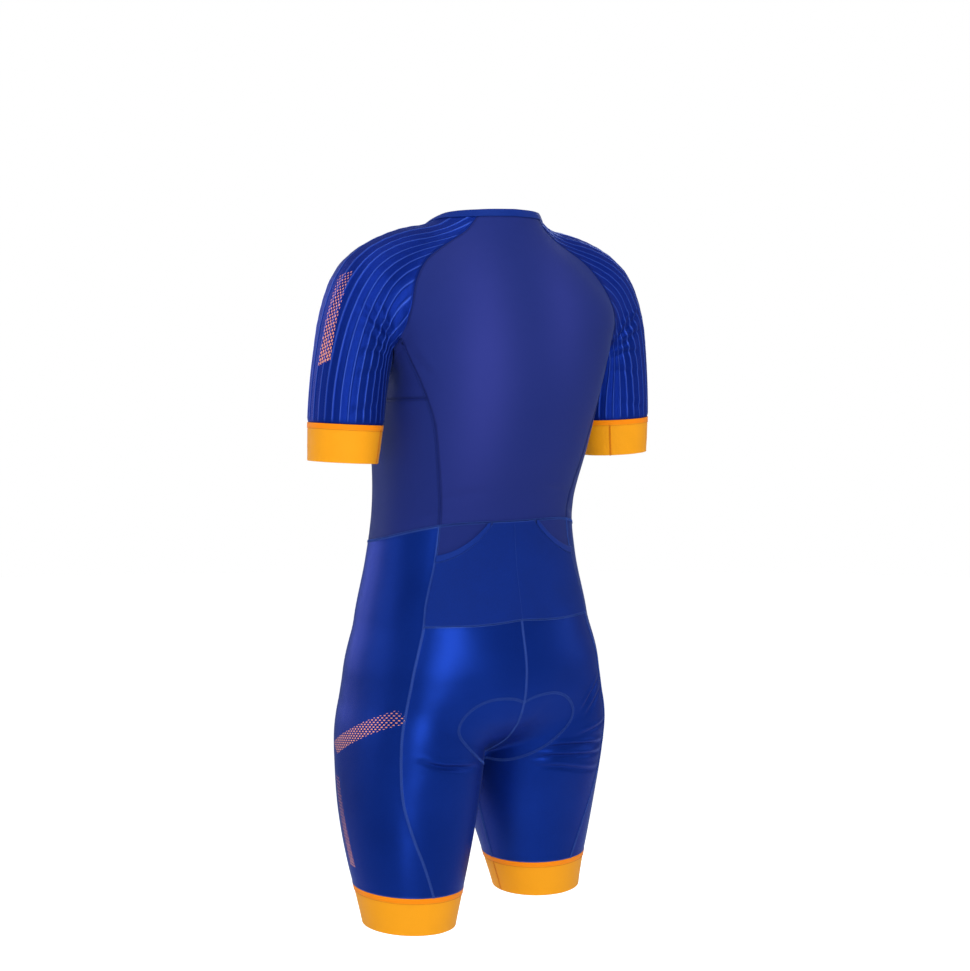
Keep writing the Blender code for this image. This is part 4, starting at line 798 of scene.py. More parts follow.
def finer(grid, down_step, across_step, closed=False):
    """The grid with more rows and columns, on cubics through its own points."""
    down = lines_across(float(run(grid, 0)[-1].mean()), down_step, len(grid) - 1)
    loop = np.concatenate([grid, grid[:, :1]], axis=1) if closed else grid
    width = float(run(loop, 1)[:, -1].mean())
    turned = np.swapaxes(through(grid, down), 0, 1)
    if closed:
        wide, across = len(turned), round(width / across_step)
        turned = np.concatenate([turned[-3:], turned, turned[:3]])
        at = 3 + np.arange(across) * wide / across
    else:
        at = lines_across(width, across_step, len(turned) - 1)
    return np.swapaxes(through(turned, at), 0, 1)


def relief(points):
    """How far the worn cloth stands out or in at points of the figure, with its creases."""
    x, y, z = points[..., 0], points[..., 1], points[..., 2]
    height = 0.00035 * np.sin(31 * x + 9 * z) * np.sin(23 * z + 1.7) * np.cos(27 * y + 0.6)
    for line, depth, width, ridge in all_creases():
        near = np.all((points > line.min(0) - 4 * width) & (points < line.max(0) + 4 * width), axis=-1)
        if near.any():
            height[near] += fold(points[near], line, depth, width, ridge)
    return height


@functools.cache
def all_creases():
    """Every crease as a line on the figure. They are brought onto it once."""
    mirror = tuple((tuple((-x, y, z) for x, y, z in line), *rest) for line, *rest in CREASES_BOTH_SIDES)
    found = []
    for line, *rest in (*CREASES_ALONE, *CREASES_BOTH_SIDES, *mirror):
        part = "sleeve" if abs(line[0][0]) > 0.165 and line[0][2] > -0.3 else "trunk"
        last = len(line) - 1
        dense = through(np.array(line, float), np.linspace(0, last, 4 * last + 1), False)
        found.append((onto(dense, (part,)), *rest))
    return found


def fold(points, line, depth, width, ridge):
    """A soft trough along a line, with a ridge above it. It fades out towards both ends."""
    closest = np.full(len(points), 1.0)
    along = np.zeros(len(points))
    above = np.zeros(len(points))
    lengths = run(line)
    for k in range(len(line) - 1):
        way = line[k + 1] - line[k]
        u = np.clip((points - line[k]) @ way / (way @ way), 0, 1)
        off = points - line[k] - u[:, None] * way
        away = np.linalg.norm(off, axis=1)
        nearer = away < closest
        closest = np.where(nearer, away, closest)
        along = np.where(nearer, (lengths[k] + u * np.linalg.norm(way)) / lengths[-1], along)
        above = np.where(nearer, np.sign(off[:, 2] + 1e-9), above)
    signed = closest * above
    fade = np.sin(math.pi * np.clip(along, 0.02, 0.98)) ** 0.7
    trough = np.exp(-(signed / width) ** 2)
    rise = ridge * np.exp(-((signed - 1.9 * width) / (1.1 * width)) ** 2)
    return depth * fade * (rise - trough)


VISIBLE_GAP = 0.0001                    # between the cloths of two pieces, under their stitches
BINDING_THICKNESS = 0.0012              # folded cloth
CUFF_THICKNESS = 0.0011
TAPE_THICKNESS = 0.0010                 # woven tape of the zip
SEAM_RELIEF_WIDTH = 0.0024
COVERED_DIP = -0.00045                  # cloth drawn down beside a covered seam
FLATLOCK_RISE = 0.00030                 # cloth doubled under a flatlock seam


class Sheet:
    """A fine lattice of one panel: points of the figure, the way out of them, and cloth coordinates."""

    def __init__(self, points, closed=False, part="trunk", lift=0.0):
        self.points, self.closed, self.lift = points, closed, lift
        self.away = unit(slope(points, part))
        loop = np.concatenate([points, points[:, :1]], axis=1) if closed else points
        across, self.down = run(loop, 1), run(loop, 0)
        width, height = across[:, -1:], self.down[-1:]
        self.uv = np.stack([across - width / 2, -self.down], axis=-1)
        self.edge = np.minimum(self.down, height - self.down)
        if not closed:
            self.edge = np.minimum(self.edge, np.minimum(across, width - across))
        self.seam_relief = 0.0
        self.bands = []

    def turned_over(self):
        """The same panel of the other half."""
        def turned(values):
            return np.roll(values[:, ::-1], 1, axis=1) if self.closed else values[:, ::-1]
        other = copy.copy(self)
        other.points, other.away = turned(mirrored(self.points)), turned(mirrored(self.away))
        other.bands = [(label, turned(places)) for label, places in self.bands]
        for name in ("uv", "edge", "down"):
            setattr(other, name, getattr(self, name)[:, ::-1])
        if not np.isscalar(self.lift):
            other.lift = self.lift[:, ::-1]
        return other

    def worn(self):
        """Its points in the stance, with the creases and the rise or dip beside its seams."""
        beside = np.exp(-(self.edge[:, :self.points.shape[1]] / SEAM_RELIEF_WIDTH) ** 2)
        rise = relief(self.points) + self.lift + self.seam_relief * beside
        return posed(self.points + rise[..., None] * self.away)


def fine_sheet(grid, down_step, across_step=None, closed=False, part="trunk"):
    """A sheet through a rough grid, drawn in a little from its seams."""
    lattice = finer(grid, down_step, across_step or down_step, closed)
    return Sheet(inset(onto(lattice, (part,), 3), closed, gap=VISIBLE_GAP), closed, part)


def new_object(name, mesh):
    """An object with this mesh, in the scene."""
    thing = bpy.data.objects.new(name, mesh)
    bpy.context.scene.collection.objects.link(thing)
    return thing


def lattice_faces(rows, wide, closed=False):
    """The four corners of every face of a lattice, row by row."""
    here = np.arange(wide if closed else wide - 1)
    after = (here + 1) % wide
    upper, lower = np.arange(rows - 1)[:, None] * wide, np.arange(1, rows)[:, None] * wide
    return np.stack([upper + here, lower + here, lower + after, upper + after],
                    axis=-1).reshape(-1, 4)


def panel_object(name, sheet, extra=()):
    """A single-sided mesh of a sheet, with its cloth coordinates and the distance from its seams."""
    worn = sheet.worn()
    rows, wide = worn.shape[:2]
    corners = lattice_faces(rows, wide, sheet.closed)
    uv_corners = lattice_faces(rows, sheet.uv.shape[1])
    uv, flat = sheet.uv.reshape(-1, 2)[uv_corners], worn.reshape(-1, 3)
    middle = corners[len(corners) // 2 + len(corners) // (rows - 1) // 2]
    a, b, c = flat[middle[:3]]
    way_out = posed(sheet.points + 0.001 * sheet.away) - posed(sheet.points)
    if np.cross(b - a, c - a) @ way_out.reshape(-1, 3)[middle[0]] < 0:
        corners, uv = corners[:, ::-1], uv[:, ::-1]
    mesh = bpy.data.meshes.new(name)
    mesh.from_pydata(flat.tolist(), [], corners.tolist())
    layer = mesh.uv_layers.new(name="cloth")
    layer.data.foreach_set("uv", uv.reshape(-1).astype(np.float32))
    for label, values in (("edge", sheet.edge), ("drop", sheet.down), *extra):
        attribute = mesh.attributes.new(label, "FLOAT", "POINT")
        attribute.data.foreach_set("value", np.ravel(values[:, :wide]).astype(np.float32))
    for label, values in sheet.bands:
        attribute = mesh.attributes.new(label, "FLOAT_VECTOR", "POINT")
        attribute.data.foreach_set("vector", values.reshape(-1).astype(np.float32))
    mesh.shade_smooth()
    return new_object(name, mesh)


def give_thickness(thing, thickness):
    wall = thing.modifiers.new("cloth", "SOLIDIFY")
    wall.thickness = thickness
    wall.offset = -1.0
    return thing


# Flat cut of each piece before it is stretched onto the wearer: width, length and area, in metres.
CUT = {
    "back_panel": (0.300, 0.423, 0.0820), "front": (0.164, 0.435, 0.0357),
    "underarm_gusset": (0.145, 0.085, 0.0070), "side_panel": (0.174, 0.180, 0.0265),
    "lower_back": (0.219, 0.119, 0.0226), "pocket_panel": (0.225, 0.122, 0.0205),
    "pocket_binding": (0.080, 0.0105, 0.00080), "short_front": (0.181, 0.455, 0.0530),
    "leg_side": (0.172, 0.432, 0.0660), "seat": (0.193, 0.388, 0.0455), "leg_cuff": (0.400, 0.046, 0.0182),
    "sleeve_cuff": (0.245, 0.046, 0.0112), "sleeve": (0.330, 0.345, 0.0600),
    "neckband": (0.455, 0.0105, 0.0047), "zip_tape": (0.010, 0.380, 0.0033),
    "seam_allowances": (0.0105, 5.55, 0.0266)}


def declare(thing, stem, nodes, body="suit"):
    """Places a finished piece on its body and hides the solids that it stands for; its cut is looked up but
    not used.
    """
    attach(thing, body)
    if nodes:
        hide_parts(*nodes)
    if stem in CUT:
        width, length, area = CUT[stem]
    return thing


def cloth_piece(name, node, stem, sheet, finish, thickness=None, extra=()):
    """One sewn panel as a finished object."""
    thing = panel_object(name, sheet, extra)
    thing.data.materials.append(finish)
    give_thickness(thing, thickness or sizes().cloth)
    return declare(thing, stem, [node] if node else [])


def cloth_pair(name, stem, sheet, finish, thickness=None):
    """The left panel and its fellow of the other half."""
    for side, half in (("left", sheet), ("right", sheet.turned_over())):
        cloth_piece(f"{name}_{side}", f"{stem}_{side}", stem, half, finish, thickness)


def sizes():
    return bpy.context.scene.triathlon_suit_sizes


def colours():
    return bpy.context.scene.triathlon_suit_colours


# ---------------------------------------------------------------- node trees
def feed(tree, target, value):
    """Gives an input the first output of a node, a link or a plain value."""
    if isinstance(value, bpy.types.Node):
        value = value.outputs[0]
    if isinstance(value, bpy.types.NodeSocket):
        tree.links.new(value, target)
    else:
        target.default_value = value


def node(tree, kind, inputs=None, **settings):
    """A node with its settings, and with values or links on its inputs."""
    made = tree.nodes.new(kind)
    for name, value in settings.items():
        setattr(made, name, value)
    for key, value in (inputs or {}).items():
        feed(tree, made.inputs[key], value)
    return made


def maths(tree, operation, *values):
    """The output of a Math node."""
    return node(tree, "ShaderNodeMath", dict(enumerate(values)), operation=operation).outputs[0]


def new_group(name, kind, inputs, outputs):
    """An empty node group with named sockets. Gives the tree, what goes into it and what comes out."""
    tree = bpy.data.node_groups.new(name, kind)
    for label, socket, default in inputs:
        made = tree.interface.new_socket(name=label, in_out="INPUT", socket_type=socket)
        if default is not None:
            made.default_value = default
    for label, socket in outputs:
        tree.interface.new_socket(name=label, in_out="OUTPUT", socket_type=socket)
    return tree, tree.nodes.new("NodeGroupInput").outputs, tree.nodes.new("NodeGroupOutput").inputs


FLOAT, VECTOR = "NodeSocketFloat", "NodeSocketVector"


def knit_grain_group():
    """Loops of a knit: rows of small bumps along the cloth, with their shade and height."""
    tree, given, result = new_group("knit_grain", "ShaderNodeTree", [
        ("Cloth Coordinates", VECTOR, None), ("Wale Pitch", FLOAT, 0.0009), ("Course Pitch", FLOAT, 0.0007),
        ("Openness", FLOAT, 0.5)], [("Height", FLOAT), ("Shade", FLOAT)])
    part = node(tree, "ShaderNodeSeparateXYZ", {0: given["Cloth Coordinates"]})
    wale = maths(tree, "DIVIDE", part, given["Wale Pitch"])
    course = maths(tree, "DIVIDE", part.outputs[1], given["Course Pitch"])
    shifted = maths(tree, "ADD", course, maths(tree, "MULTIPLY", maths(tree, "FLOOR", wale), 0.5))
    across = maths(tree, "ABSOLUTE", maths(tree, "SINE", maths(tree, "MULTIPLY", wale, math.pi)))
    down = maths(tree, "ABSOLUTE", maths(tree, "SINE", maths(tree, "MULTIPLY", shifted, math.pi)))
    loop = maths(tree, "MULTIPLY", across, down)
    feed(tree, result["Height"], maths(tree, "POWER", loop, given["Openness"]))
    feed(tree, result["Shade"], maths(tree, "SQRT", loop))
    return tree


def cloth_tone_group():
    """Broad and fine unevenness of dyed cloth."""
    tree, given, result = new_group("cloth_tone", "ShaderNodeTree", [
        ("Place", VECTOR, None), ("Broad Scale", FLOAT, 7.0), ("Fine Scale", FLOAT, 900.0),
        ("Fine Share", FLOAT, 0.35)], [("Tone", FLOAT)])
    broad = node(tree, "ShaderNodeTexNoise", {"Vector": given["Place"],
                                              "Scale": given["Broad Scale"], "Detail": 3.0})
    fine = node(tree, "ShaderNodeTexNoise", {"Vector": given["Place"],
                                             "Scale": given["Fine Scale"], "Detail": 2.0})
    mixed = node(tree, "ShaderNodeMix", {0: given["Fine Share"], 2: broad.outputs["Fac"],
                                         3: fine.outputs["Fac"]})
    spread = node(tree, "ShaderNodeMapRange", {0: mixed, 1: 0.3, 2: 0.7})
    feed(tree, result["Tone"], spread)
    return tree


def seam_shade_group():
    """1 beside a seam and 0 away from it, from the distance that a panel carries."""
    tree, given, result = new_group("seam_shade", "ShaderNodeTree", [("Width", FLOAT, 0.004)],
                                    [("Mask", FLOAT)])
    edge = node(tree, "ShaderNodeAttribute", attribute_name="edge")
    share = node(tree, "ShaderNodeMapRange", {0: edge.outputs["Fac"], 1: 0.0, 2: given["Width"],
                                              3: 1.0, 4: 0.0}, interpolation_type="SMOOTHSTEP")
    feed(tree, result["Mask"], share)
    return tree


def print_marks_group():
    """Small printed lozenges in a slanted band that shrink along it."""
    tree, given, result = new_group("print_marks", "ShaderNodeTree", [
        ("Band Place", VECTOR, None), ("Half Width", FLOAT, 0.012), ("Half Length", FLOAT, 0.035),
        ("Pitch", FLOAT, 0.0042), ("Slant", FLOAT, 0.6)], [("Mask", FLOAT)])
    part = node(tree, "ShaderNodeSeparateXYZ", {0: given["Band Place"]})
    down = part.outputs[1]
    across = maths(tree, "SUBTRACT", part,
                   maths(tree, "MULTIPLY", down, given["Slant"]))
    within = maths(tree, "LESS_THAN", maths(tree, "ABSOLUTE", across), given["Half Width"])
    along = maths(tree, "LESS_THAN", maths(tree, "ABSOLUTE", down), given["Half Length"])
    row = maths(tree, "DIVIDE", down, given["Pitch"])
    column = maths(tree, "ADD", maths(tree, "DIVIDE", across, given["Pitch"]),
                   maths(tree, "MULTIPLY", maths(tree, "FLOOR", row), 0.5))
    u = maths(tree, "ABSOLUTE", maths(tree, "SUBTRACT", maths(tree, "FRACT", column), 0.5))
    v = maths(tree, "ABSOLUTE", maths(tree, "SUBTRACT", maths(tree, "FRACT", row), 0.5))
    size = node(tree, "ShaderNodeMapRange", {0: maths(tree, "DIVIDE", down, given["Half Length"]),
                                             1: -1.0, 2: 1.0, 3: 0.24, 4: 0.40})
    lozenge = maths(tree, "LESS_THAN", maths(tree, "ADD", u, maths(tree, "MULTIPLY", v, 0.75)), size)
    facing = maths(tree, "GREATER_THAN", part.outputs[2], 0.1)
    mask = maths(tree, "MULTIPLY", maths(tree, "MULTIPLY", within, along),
                 maths(tree, "MULTIPLY", lozenge, facing))
    feed(tree, result["Mask"], mask)
    return tree


def place_group(tree, name, inputs):
    """A shared node group, put into a material with that material's own values."""
    makers = {"knit_grain": knit_grain_group, "cloth_tone": cloth_tone_group,
              "seam_shade": seam_shade_group, "print_marks": print_marks_group}
    made = tree.nodes.new("ShaderNodeGroup")
    made.node_tree = bpy.data.node_groups.get(name) or makers[name]()
    for key, value in inputs.items():
        feed(tree, made.inputs[key], value)
    return made.outputs


def mix_colour(tree, share, first, second):
    """A colour between two, which are sockets or plain colours."""
    first, second = [value if isinstance(value, bpy.types.NodeSocket) else (*value, 1.0)
                     for value in (first, second)]
    return node(tree, "ShaderNodeMix", {0: share, 6: first, 7: second}, data_type="RGBA").outputs[2]


def new_material(name, colour, roughness, sheen=0.0, sheen_tint=(1, 1, 1), specular=0.5, metallic=0.0,
                 coat=0.0, tint=(1, 1, 1)):
    """A material with a Principled shader and its plain values."""
    made = bpy.data.materials.new(name)
    made.use_nodes = True
    tree = made.node_tree
    shader = tree.nodes["Principled BSDF"]
    plain = {"Base Color": (*colour, 1.0), "Roughness": roughness, "Sheen Weight": sheen,
             "Sheen Tint": (*sheen_tint, 1.0), "Sheen Roughness": 0.4,
             "Specular IOR Level": specular, "Specular Tint": (*tint, 1.0), "Metallic": metallic,
             "Coat Weight": coat}
    for key, value in plain.items():
        shader.inputs[key].default_value = value
    made.diffuse_color = (*colour, 1.0)
    return made, tree, shader


def dress(tree, shader, colour, height, distance, strength=1.0):
    """Gives a shader its colour and its relief."""
    tree.links.new(colour, shader.inputs["Base Color"])
    bump = node(tree, "ShaderNodeBump", {"Height": height, "Distance": distance, "Strength": strength})
    tree.links.new(bump.outputs[0], shader.inputs["Normal"])


def object_place(tree):
    return node(tree, "ShaderNodeTexCoord").outputs["Object"]


def uneven_tone(tree, values):
    """0 to 1 all over an object, as unevenly as dye takes."""
    return place_group(tree, "cloth_tone", {"Place": object_place(tree), **values})["Tone"]


def darker(colour, share=0.6):
    return tuple(share * value for value in colour)


BLUE_GLOSS = (0.25, 0.45, 1.0)          # tint of the gloss of blue cloth and thread
KNIT_BUMP = 0.7                         # strength of a knit's relief


def knit_material(name, light, dark, roughness, pitch, depth, openness, seam=None, marks=(), sheen=0.04,
                  specular=0.2, metallic=0.0, stretch_and_painted_light=None):
    """Knitted cloth: its loops, uneven dye, seam shade, printed marks, and where given a share of stretch and
    painted light.
    """
    if name in bpy.data.materials:
        return bpy.data.materials[name]
    made, tree, shader = new_material(name, light, roughness, sheen, (0.35, 0.5, 1.0), specular=specular,
                                      metallic=metallic, tint=BLUE_GLOSS)
    grain = knit_grain(tree, pitch, openness)
    tone = uneven_tone(tree, {"Fine Share": 0.35})
    if stretch_and_painted_light:
        # Painted light: the share of stretch and painted light takes most of the tone's place, so the back is
        # lighter where it is stretched and where painted light falls.
        stretch_and_light_share = node(tree, "ShaderNodeAttribute", attribute_name=stretch_and_painted_light).outputs["Fac"]
        tone = node(tree, "ShaderNodeMix", {0: 0.85, 2: tone, 3: stretch_and_light_share}).outputs[0]
    shaded = maths(tree, "MULTIPLY_ADD", grain["Shade"], 0.4, maths(tree, "MULTIPLY", tone, 0.6))
    colour = mix_colour(tree, shaded, dark, light)
    # Beside a seam the colour turns towards the seam colour given; with the dark cover thread's colour this
    # is painted shade of the dip beside the seam.
    if seam:
        seam_colour, width, strength = seam
        mask = place_group(tree, "seam_shade", {"Width": width})["Mask"]
        colour = mix_colour(tree, maths(tree, "MULTIPLY", mask, strength), colour, seam_colour)
    for label, values in marks:
        band = node(tree, "ShaderNodeAttribute", attribute_name=label).outputs["Vector"]
        mask = place_group(tree, "print_marks", {"Band Place": band, **values})["Mask"]
        colour = mix_colour(tree, mask, colour, colours().print_mark)
    rough = maths(tree, "MULTIPLY_ADD", tone, 0.10, roughness - 0.05)
    tree.links.new(rough, shader.inputs["Roughness"])
    dress(tree, shader, colour, grain["Height"], depth, KNIT_BUMP)
    return made


def knit_grain(tree, pitch, openness):
    """The loops of a knit, along the cloth's own coordinates."""
    cloth = node(tree, "ShaderNodeUVMap", uv_map="cloth").outputs[0]
    return place_group(tree, "knit_grain", {"Cloth Coordinates": cloth, "Wale Pitch": pitch[0],
                                            "Course Pitch": pitch[1], "Openness": openness})


def thread_material(name, colour):
    """Twisted polyester thread."""
    if name in bpy.data.materials:
        return bpy.data.materials[name]
    made, tree, shader = new_material(name, colour, 0.6, 0.03, (0.5, 0.6, 1.0), specular=0.2,
                                      tint=BLUE_GLOSS)
    tone = uneven_tone(tree, {"Fine Scale": 2600.0, "Fine Share": 0.6})
    twist = node(tree, "ShaderNodeTexWave", {"Vector": object_place(tree), "Scale": 1400.0,
                                             "Distortion": 2.0}, bands_direction="DIAGONAL")
    dress(tree, shader, mix_colour(tree, tone, darker(colour), colour), twist.outputs["Fac"], 0.00006)
    return made


def cuff_material():
    """Elastic gripper band: fine lengthwise ribs, and a darker doubled strip along its top."""
    if "gripper_band" in bpy.data.materials:
        return bpy.data.materials["gripper_band"]
    chosen = colours()
    made, tree, shader = new_material("gripper_band", chosen.cuff, 0.62, 0.08, (1.0, 0.8, 0.5),
                                      specular=0.25, tint=(1.0, 0.75, 0.4))
    grain = knit_grain(tree, (0.0011, 0.0008), 0.7)
    tone = uneven_tone(tree, {"Broad Scale": 14.0})
    drop = node(tree, "ShaderNodeAttribute", attribute_name="drop").outputs["Fac"]
    strip = node(tree, "ShaderNodeMapRange", {0: drop, 1: CUFF_STRIP - 0.0004, 2: CUFF_STRIP + 0.0002,
                                              3: 1.0, 4: 0.0}).outputs[0]
    shaded = maths(tree, "MULTIPLY_ADD", grain["Shade"], 0.5, maths(tree, "MULTIPLY", tone, 0.5))
    band = mix_colour(tree, shaded, darker(chosen.cuff, 0.86), chosen.cuff)
    colour = mix_colour(tree, strip, band, chosen.cuff_strip)
    dress(tree, shader, colour, grain["Height"], 0.00012, KNIT_BUMP)
    return made


def metal_material():
    """Painted die-cast metal with worn edges."""
    if "painted_metal" in bpy.data.materials:
        return bpy.data.materials["painted_metal"]
    paint, bare = colours().metal, (0.30, 0.31, 0.34)
    made, tree, shader = new_material("painted_metal", paint, 0.32, metallic=0.6, coat=0.4)
    tone = uneven_tone(tree, {"Broad Scale": 160.0, "Fine Scale": 3000.0})
    worn = node(tree, "ShaderNodeMapRange", {0: node(tree, "ShaderNodeNewGeometry").outputs["Pointiness"],
                                             1: 0.52, 2: 0.60}).outputs[0]
    tree.links.new(maths(tree, "MULTIPLY_ADD", tone, 0.15, 0.26), shader.inputs["Roughness"])
    colour = mix_colour(tree, maths(tree, "MULTIPLY", worn, tone), paint, bare)
    dress(tree, shader, colour, tone, 0.00002)
    return made


def pad_material():
    """Brushed knit over foam."""
    made, tree, shader = new_material("brushed_pad", colours().pad, 0.9, 0.5, (0.6, 0.7, 1.0))
    tone = uneven_tone(tree, {"Broad Scale": 30.0, "Fine Scale": 1400.0})
    dress(tree, shader, mix_colour(tree, tone, darker(colours().pad), colours().pad), tone, 0.0003)
    return made


def mesh_cloth():
    """Matt open knit of the upper body."""
    c = colours()
    # Its seam colour, the dark cover thread's, is painted shade beside the seams.
    return knit_material("mesh_knit", c.mesh_light, c.mesh_dark, 0.70, (0.0013, 0.0011), 0.00016, 0.6,
                         seam=(c.seam_dark, 0.0022, 0.6), sheen=0.10, specular=0.15, stretch_and_painted_light="stretch_and_painted_light")


def lycra_cloth(name="satin_lycra", marks=()):
    """Satin knit of the shorts."""
    c = colours()
    return knit_material(name, c.lycra_light, c.lycra_dark, 0.36, (0.00055, 0.00045), 0.00004, 0.8,
                         seam=(c.seam_light, 0.0024, 0.75), metallic=0.55, marks=marks)


def binding_cloth():
    """Smooth knit of the folded bindings."""
    c = colours()
    return knit_material("fold_binding", c.binding, c.lycra_dark, 0.55, (0.0007, 0.0006), 0.00007, 0.8)


# ---------------------------------------------------------------- stitches and coil, by geometry nodes
def stitch_tree():
    """Stitches set along a path, each an arch of thread, turned to either side in turn by a slant."""
    tree, given, result = new_group("stitches_along_path", "GeometryNodeTree", [
        ("Geometry", "NodeSocketGeometry", None), ("Pitch", FLOAT, 0.003), ("Length", FLOAT, 0.0022),
        ("Radius", FLOAT, 0.0002), ("Arch", FLOAT, 0.0002), ("Turn", FLOAT, 0.0), ("Slant", FLOAT, 0.0),
        ("Thread", "NodeSocketMaterial", None)], [("Geometry", "NodeSocketGeometry")])
    curve = node(tree, "GeometryNodeMeshToCurve", {0: given["Geometry"]})
    cut = node(tree, "GeometryNodeResampleCurve", {"Curve": curve,
                                                   "Length": given["Pitch"]}, mode="LENGTH")
    half = maths(tree, "MULTIPLY", given["Length"], 0.5)
    start = node(tree, "ShaderNodeCombineXYZ", {0: maths(tree, "MULTIPLY", half, -1.0)})
    end = node(tree, "ShaderNodeCombineXYZ", {0: half})
    top = node(tree, "ShaderNodeCombineXYZ", {2: maths(tree, "MULTIPLY", given["Arch"], 2.0)})
    arch = node(tree, "GeometryNodeCurveQuadraticBezier", {"Resolution": 2, "Start": start, "Middle": top,
                                                           "End": end})
    ring = node(tree, "GeometryNodeCurvePrimitiveCircle", {"Resolution": 4,
                                                           "Radius": given["Radius"]})
    stitch = node(tree, "GeometryNodeCurveToMesh", {"Curve": arch,
                                                    "Profile Curve": ring, "Fill Caps": True})
    out = node(tree, "GeometryNodeInputNamedAttribute", {"Name": "out"}, data_type="FLOAT_VECTOR")
    along = node(tree, "GeometryNodeInputTangent")
    on_cloth = node(tree, "FunctionNodeAxesToRotation", {"Primary Axis": out, "Secondary Axis": along},
                    primary_axis="Z", secondary_axis="X")
    odd = maths(tree, "MULTIPLY_ADD", maths(tree, "MODULO", node(tree, "GeometryNodeInputIndex"),
                                            2.0), 2.0, -1.0)
    turn = maths(tree, "MULTIPLY_ADD", odd, given["Slant"], given["Turn"])
    about = node(tree, "FunctionNodeEulerToRotation",
                 {0: node(tree, "ShaderNodeCombineXYZ", {2: turn})})
    turned = node(tree, "FunctionNodeRotateRotation", {0: on_cloth, 1: about},
                  rotation_space="LOCAL")
    placed = node(tree, "GeometryNodeInstanceOnPoints", {"Points": cut,
                                                         "Instance": stitch,
                                                         "Rotation": turned})
    real = node(tree, "GeometryNodeRealizeInstances", {0: placed})
    painted = node(tree, "GeometryNodeSetMaterial", {"Geometry": real,
                                                     "Material": given["Thread"]})
    feed(tree, result[0], painted)
    return tree


def by_nodes(name, base, tree, values):
    """A plain mesh from a base object and a node tree, whose inputs are set before it is evaluated."""
    modifier = base.modifiers.new(name, "NODES")
    modifier.node_group = tree
    for item in tree.interface.items_tree:
        if item.item_type == "SOCKET" and item.in_out == "INPUT" and item.name in values:
            modifier[item.identifier] = values[item.name]
    bpy.context.view_layer.update()
    mesh = bpy.data.meshes.new_from_object(base.evaluated_get(bpy.context.evaluated_depsgraph_get()))
    base.modifiers.clear()
    bpy.data.objects.remove(base, do_unlink=True)
    mesh.name = name
    return new_object(name, mesh)


def path_object(name, paths):
    """Paths as one mesh of edges, with the way out of the cloth at every point."""
    points, outs, edges, start = [], [], [], 0
    for line, out in paths:
        points.append(line)
        outs.append(out)
        edges.extend((start + k, start + k + 1) for k in range(len(line) - 1))
        start += len(line)
    mesh = bpy.data.meshes.new(name)
    mesh.from_pydata(np.vstack(points).tolist(), edges, [])
    attribute = mesh.attributes.new("out", "FLOAT_VECTOR", "POINT")
    attribute.data.foreach_set("vector", np.vstack(outs).reshape(-1).astype(np.float32))
    return new_object(name, mesh)


def stitch_run(name, paths, material, slot, **values):
    """One piece of sewing: stitches along all these paths."""
    tree = bpy.data.node_groups.get("stitches_along_path") or stitch_tree()
    made = by_nodes(name, path_object(name + "_path", paths), tree, {
        "Radius": sizes().thread / 2, "Thread": material, **values})
    made.data.shade_smooth()
    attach(made, "suit")
    return made


STITCH_HEIGHT = 0.0003                  # middle of a thread above the cloth


def seam_line(points, part="trunk", side_shift=0.0, height=STITCH_HEIGHT, closed=False):
    """A seam on the worn cloth, shifted sideways along it, with the way out of the cloth."""
    points = np.asarray(points, float)
    if closed:
        points = np.vstack([points, points[:1]])
    count = max(8, int(run(points)[-1] / 0.0035))
    line = onto(through(points, np.linspace(0, len(points) - 1, count + 1)), (part,), 3)
    away = unit(slope(line, part))
    side = unit(np.cross(unit(np.gradient(line, axis=0)), away))
    line = onto(line + side_shift * side, (part,), 2)
    away = unit(slope(line, part))
    worn = posed(line + (relief(line) + height)[:, None] * away)
    return worn, unit(posed(line + 0.001 * away) - posed(line))


def both_halves(lines):
    return [*lines, *(mirrored(line) for line in lines)]


# ---------------------------------------------------------------- the pieces
def make_upper_body():
    """Back, fronts, underarm gussets and side panels of matt mesh."""
    seams = all_seams()
    finish = mesh_cloth()
    back_left = np.vstack([seams["back_raglan"], seams["back_side_gusset"][1:], seams["back_side"][1:]])
    neck = neckline(np.linspace(BACK_RAGLAN_ANGLE, 360 - BACK_RAGLAN_ANGLE, STEPS_BACK + 1))
    neck[0], neck[-1] = back_left[0], mirrored(back_left[0])
    sheet = upper_sheet(between(neck, seams["waist_back"], back_left, mirrored(back_left)))
    # The back panel carries a share of stretch and painted light for its colour.
    cloth_piece("back_panel_cloth", "back_panel", "back_panel", sheet, finish,
                extra=[("stretch_and_painted_light", shoulder_stretch_and_painted_light(sheet))])

    front_side = np.vstack([seams["front_raglan"], seams["front_side_gusset"][1:],
                            seams["front_side"][1:]])
    neck = neckline(np.linspace(seams["neck_zip_angle"], FRONT_RAGLAN_ANGLE, STEPS_FRONT + 1))
    low = seams["gusset_low"]
    for stem, edges in (
            ("front", (neck, seams["waist_front"], seams["zip_edge"], front_side)),
            ("underarm_gusset", (seams["underarm"][::-1], low, seams["front_side_gusset"],
                                 seams["back_side_gusset"])),
            ("side_panel", (low, seams["waist_side"], seams["front_side"], seams["back_side"]))):
        cloth_pair(f"{stem}_cloth", stem, upper_sheet(between(*edges)), finish)


def upper_sheet(grid):
    sheet = fine_sheet(grid, sizes().step)
    sheet.seam_relief = COVERED_DIP
    return sheet


def shoulder_stretch_and_painted_light(sheet):
    """Share of stretch and painted light on the back: 1 where the mesh is pulled thin over the shoulder
    blades and where painted light falls, 0 in the hollow of the back.
    """
    x, z = sheet.points[..., 0], sheet.points[..., 2]
    # The left patch is stronger than the right one as painted light from the left side, and the darker right
    # side is painted shade.
    left = np.exp(-((x - 0.066) / 0.040) ** 2 - ((z + 0.200) / 0.150) ** 2)
    right = 0.55 * np.exp(-((x + 0.052) / 0.034) ** 2 - ((z + 0.120) / 0.090) ** 2)
    return np.clip(0.06 + 1.0 * left + right, 0, 1)


def lower_back_grid():
    seams = all_seams()
    left = seams["back_hip"]
    return between(seams["waist_back"], seams["hip"], left, mirrored(left))


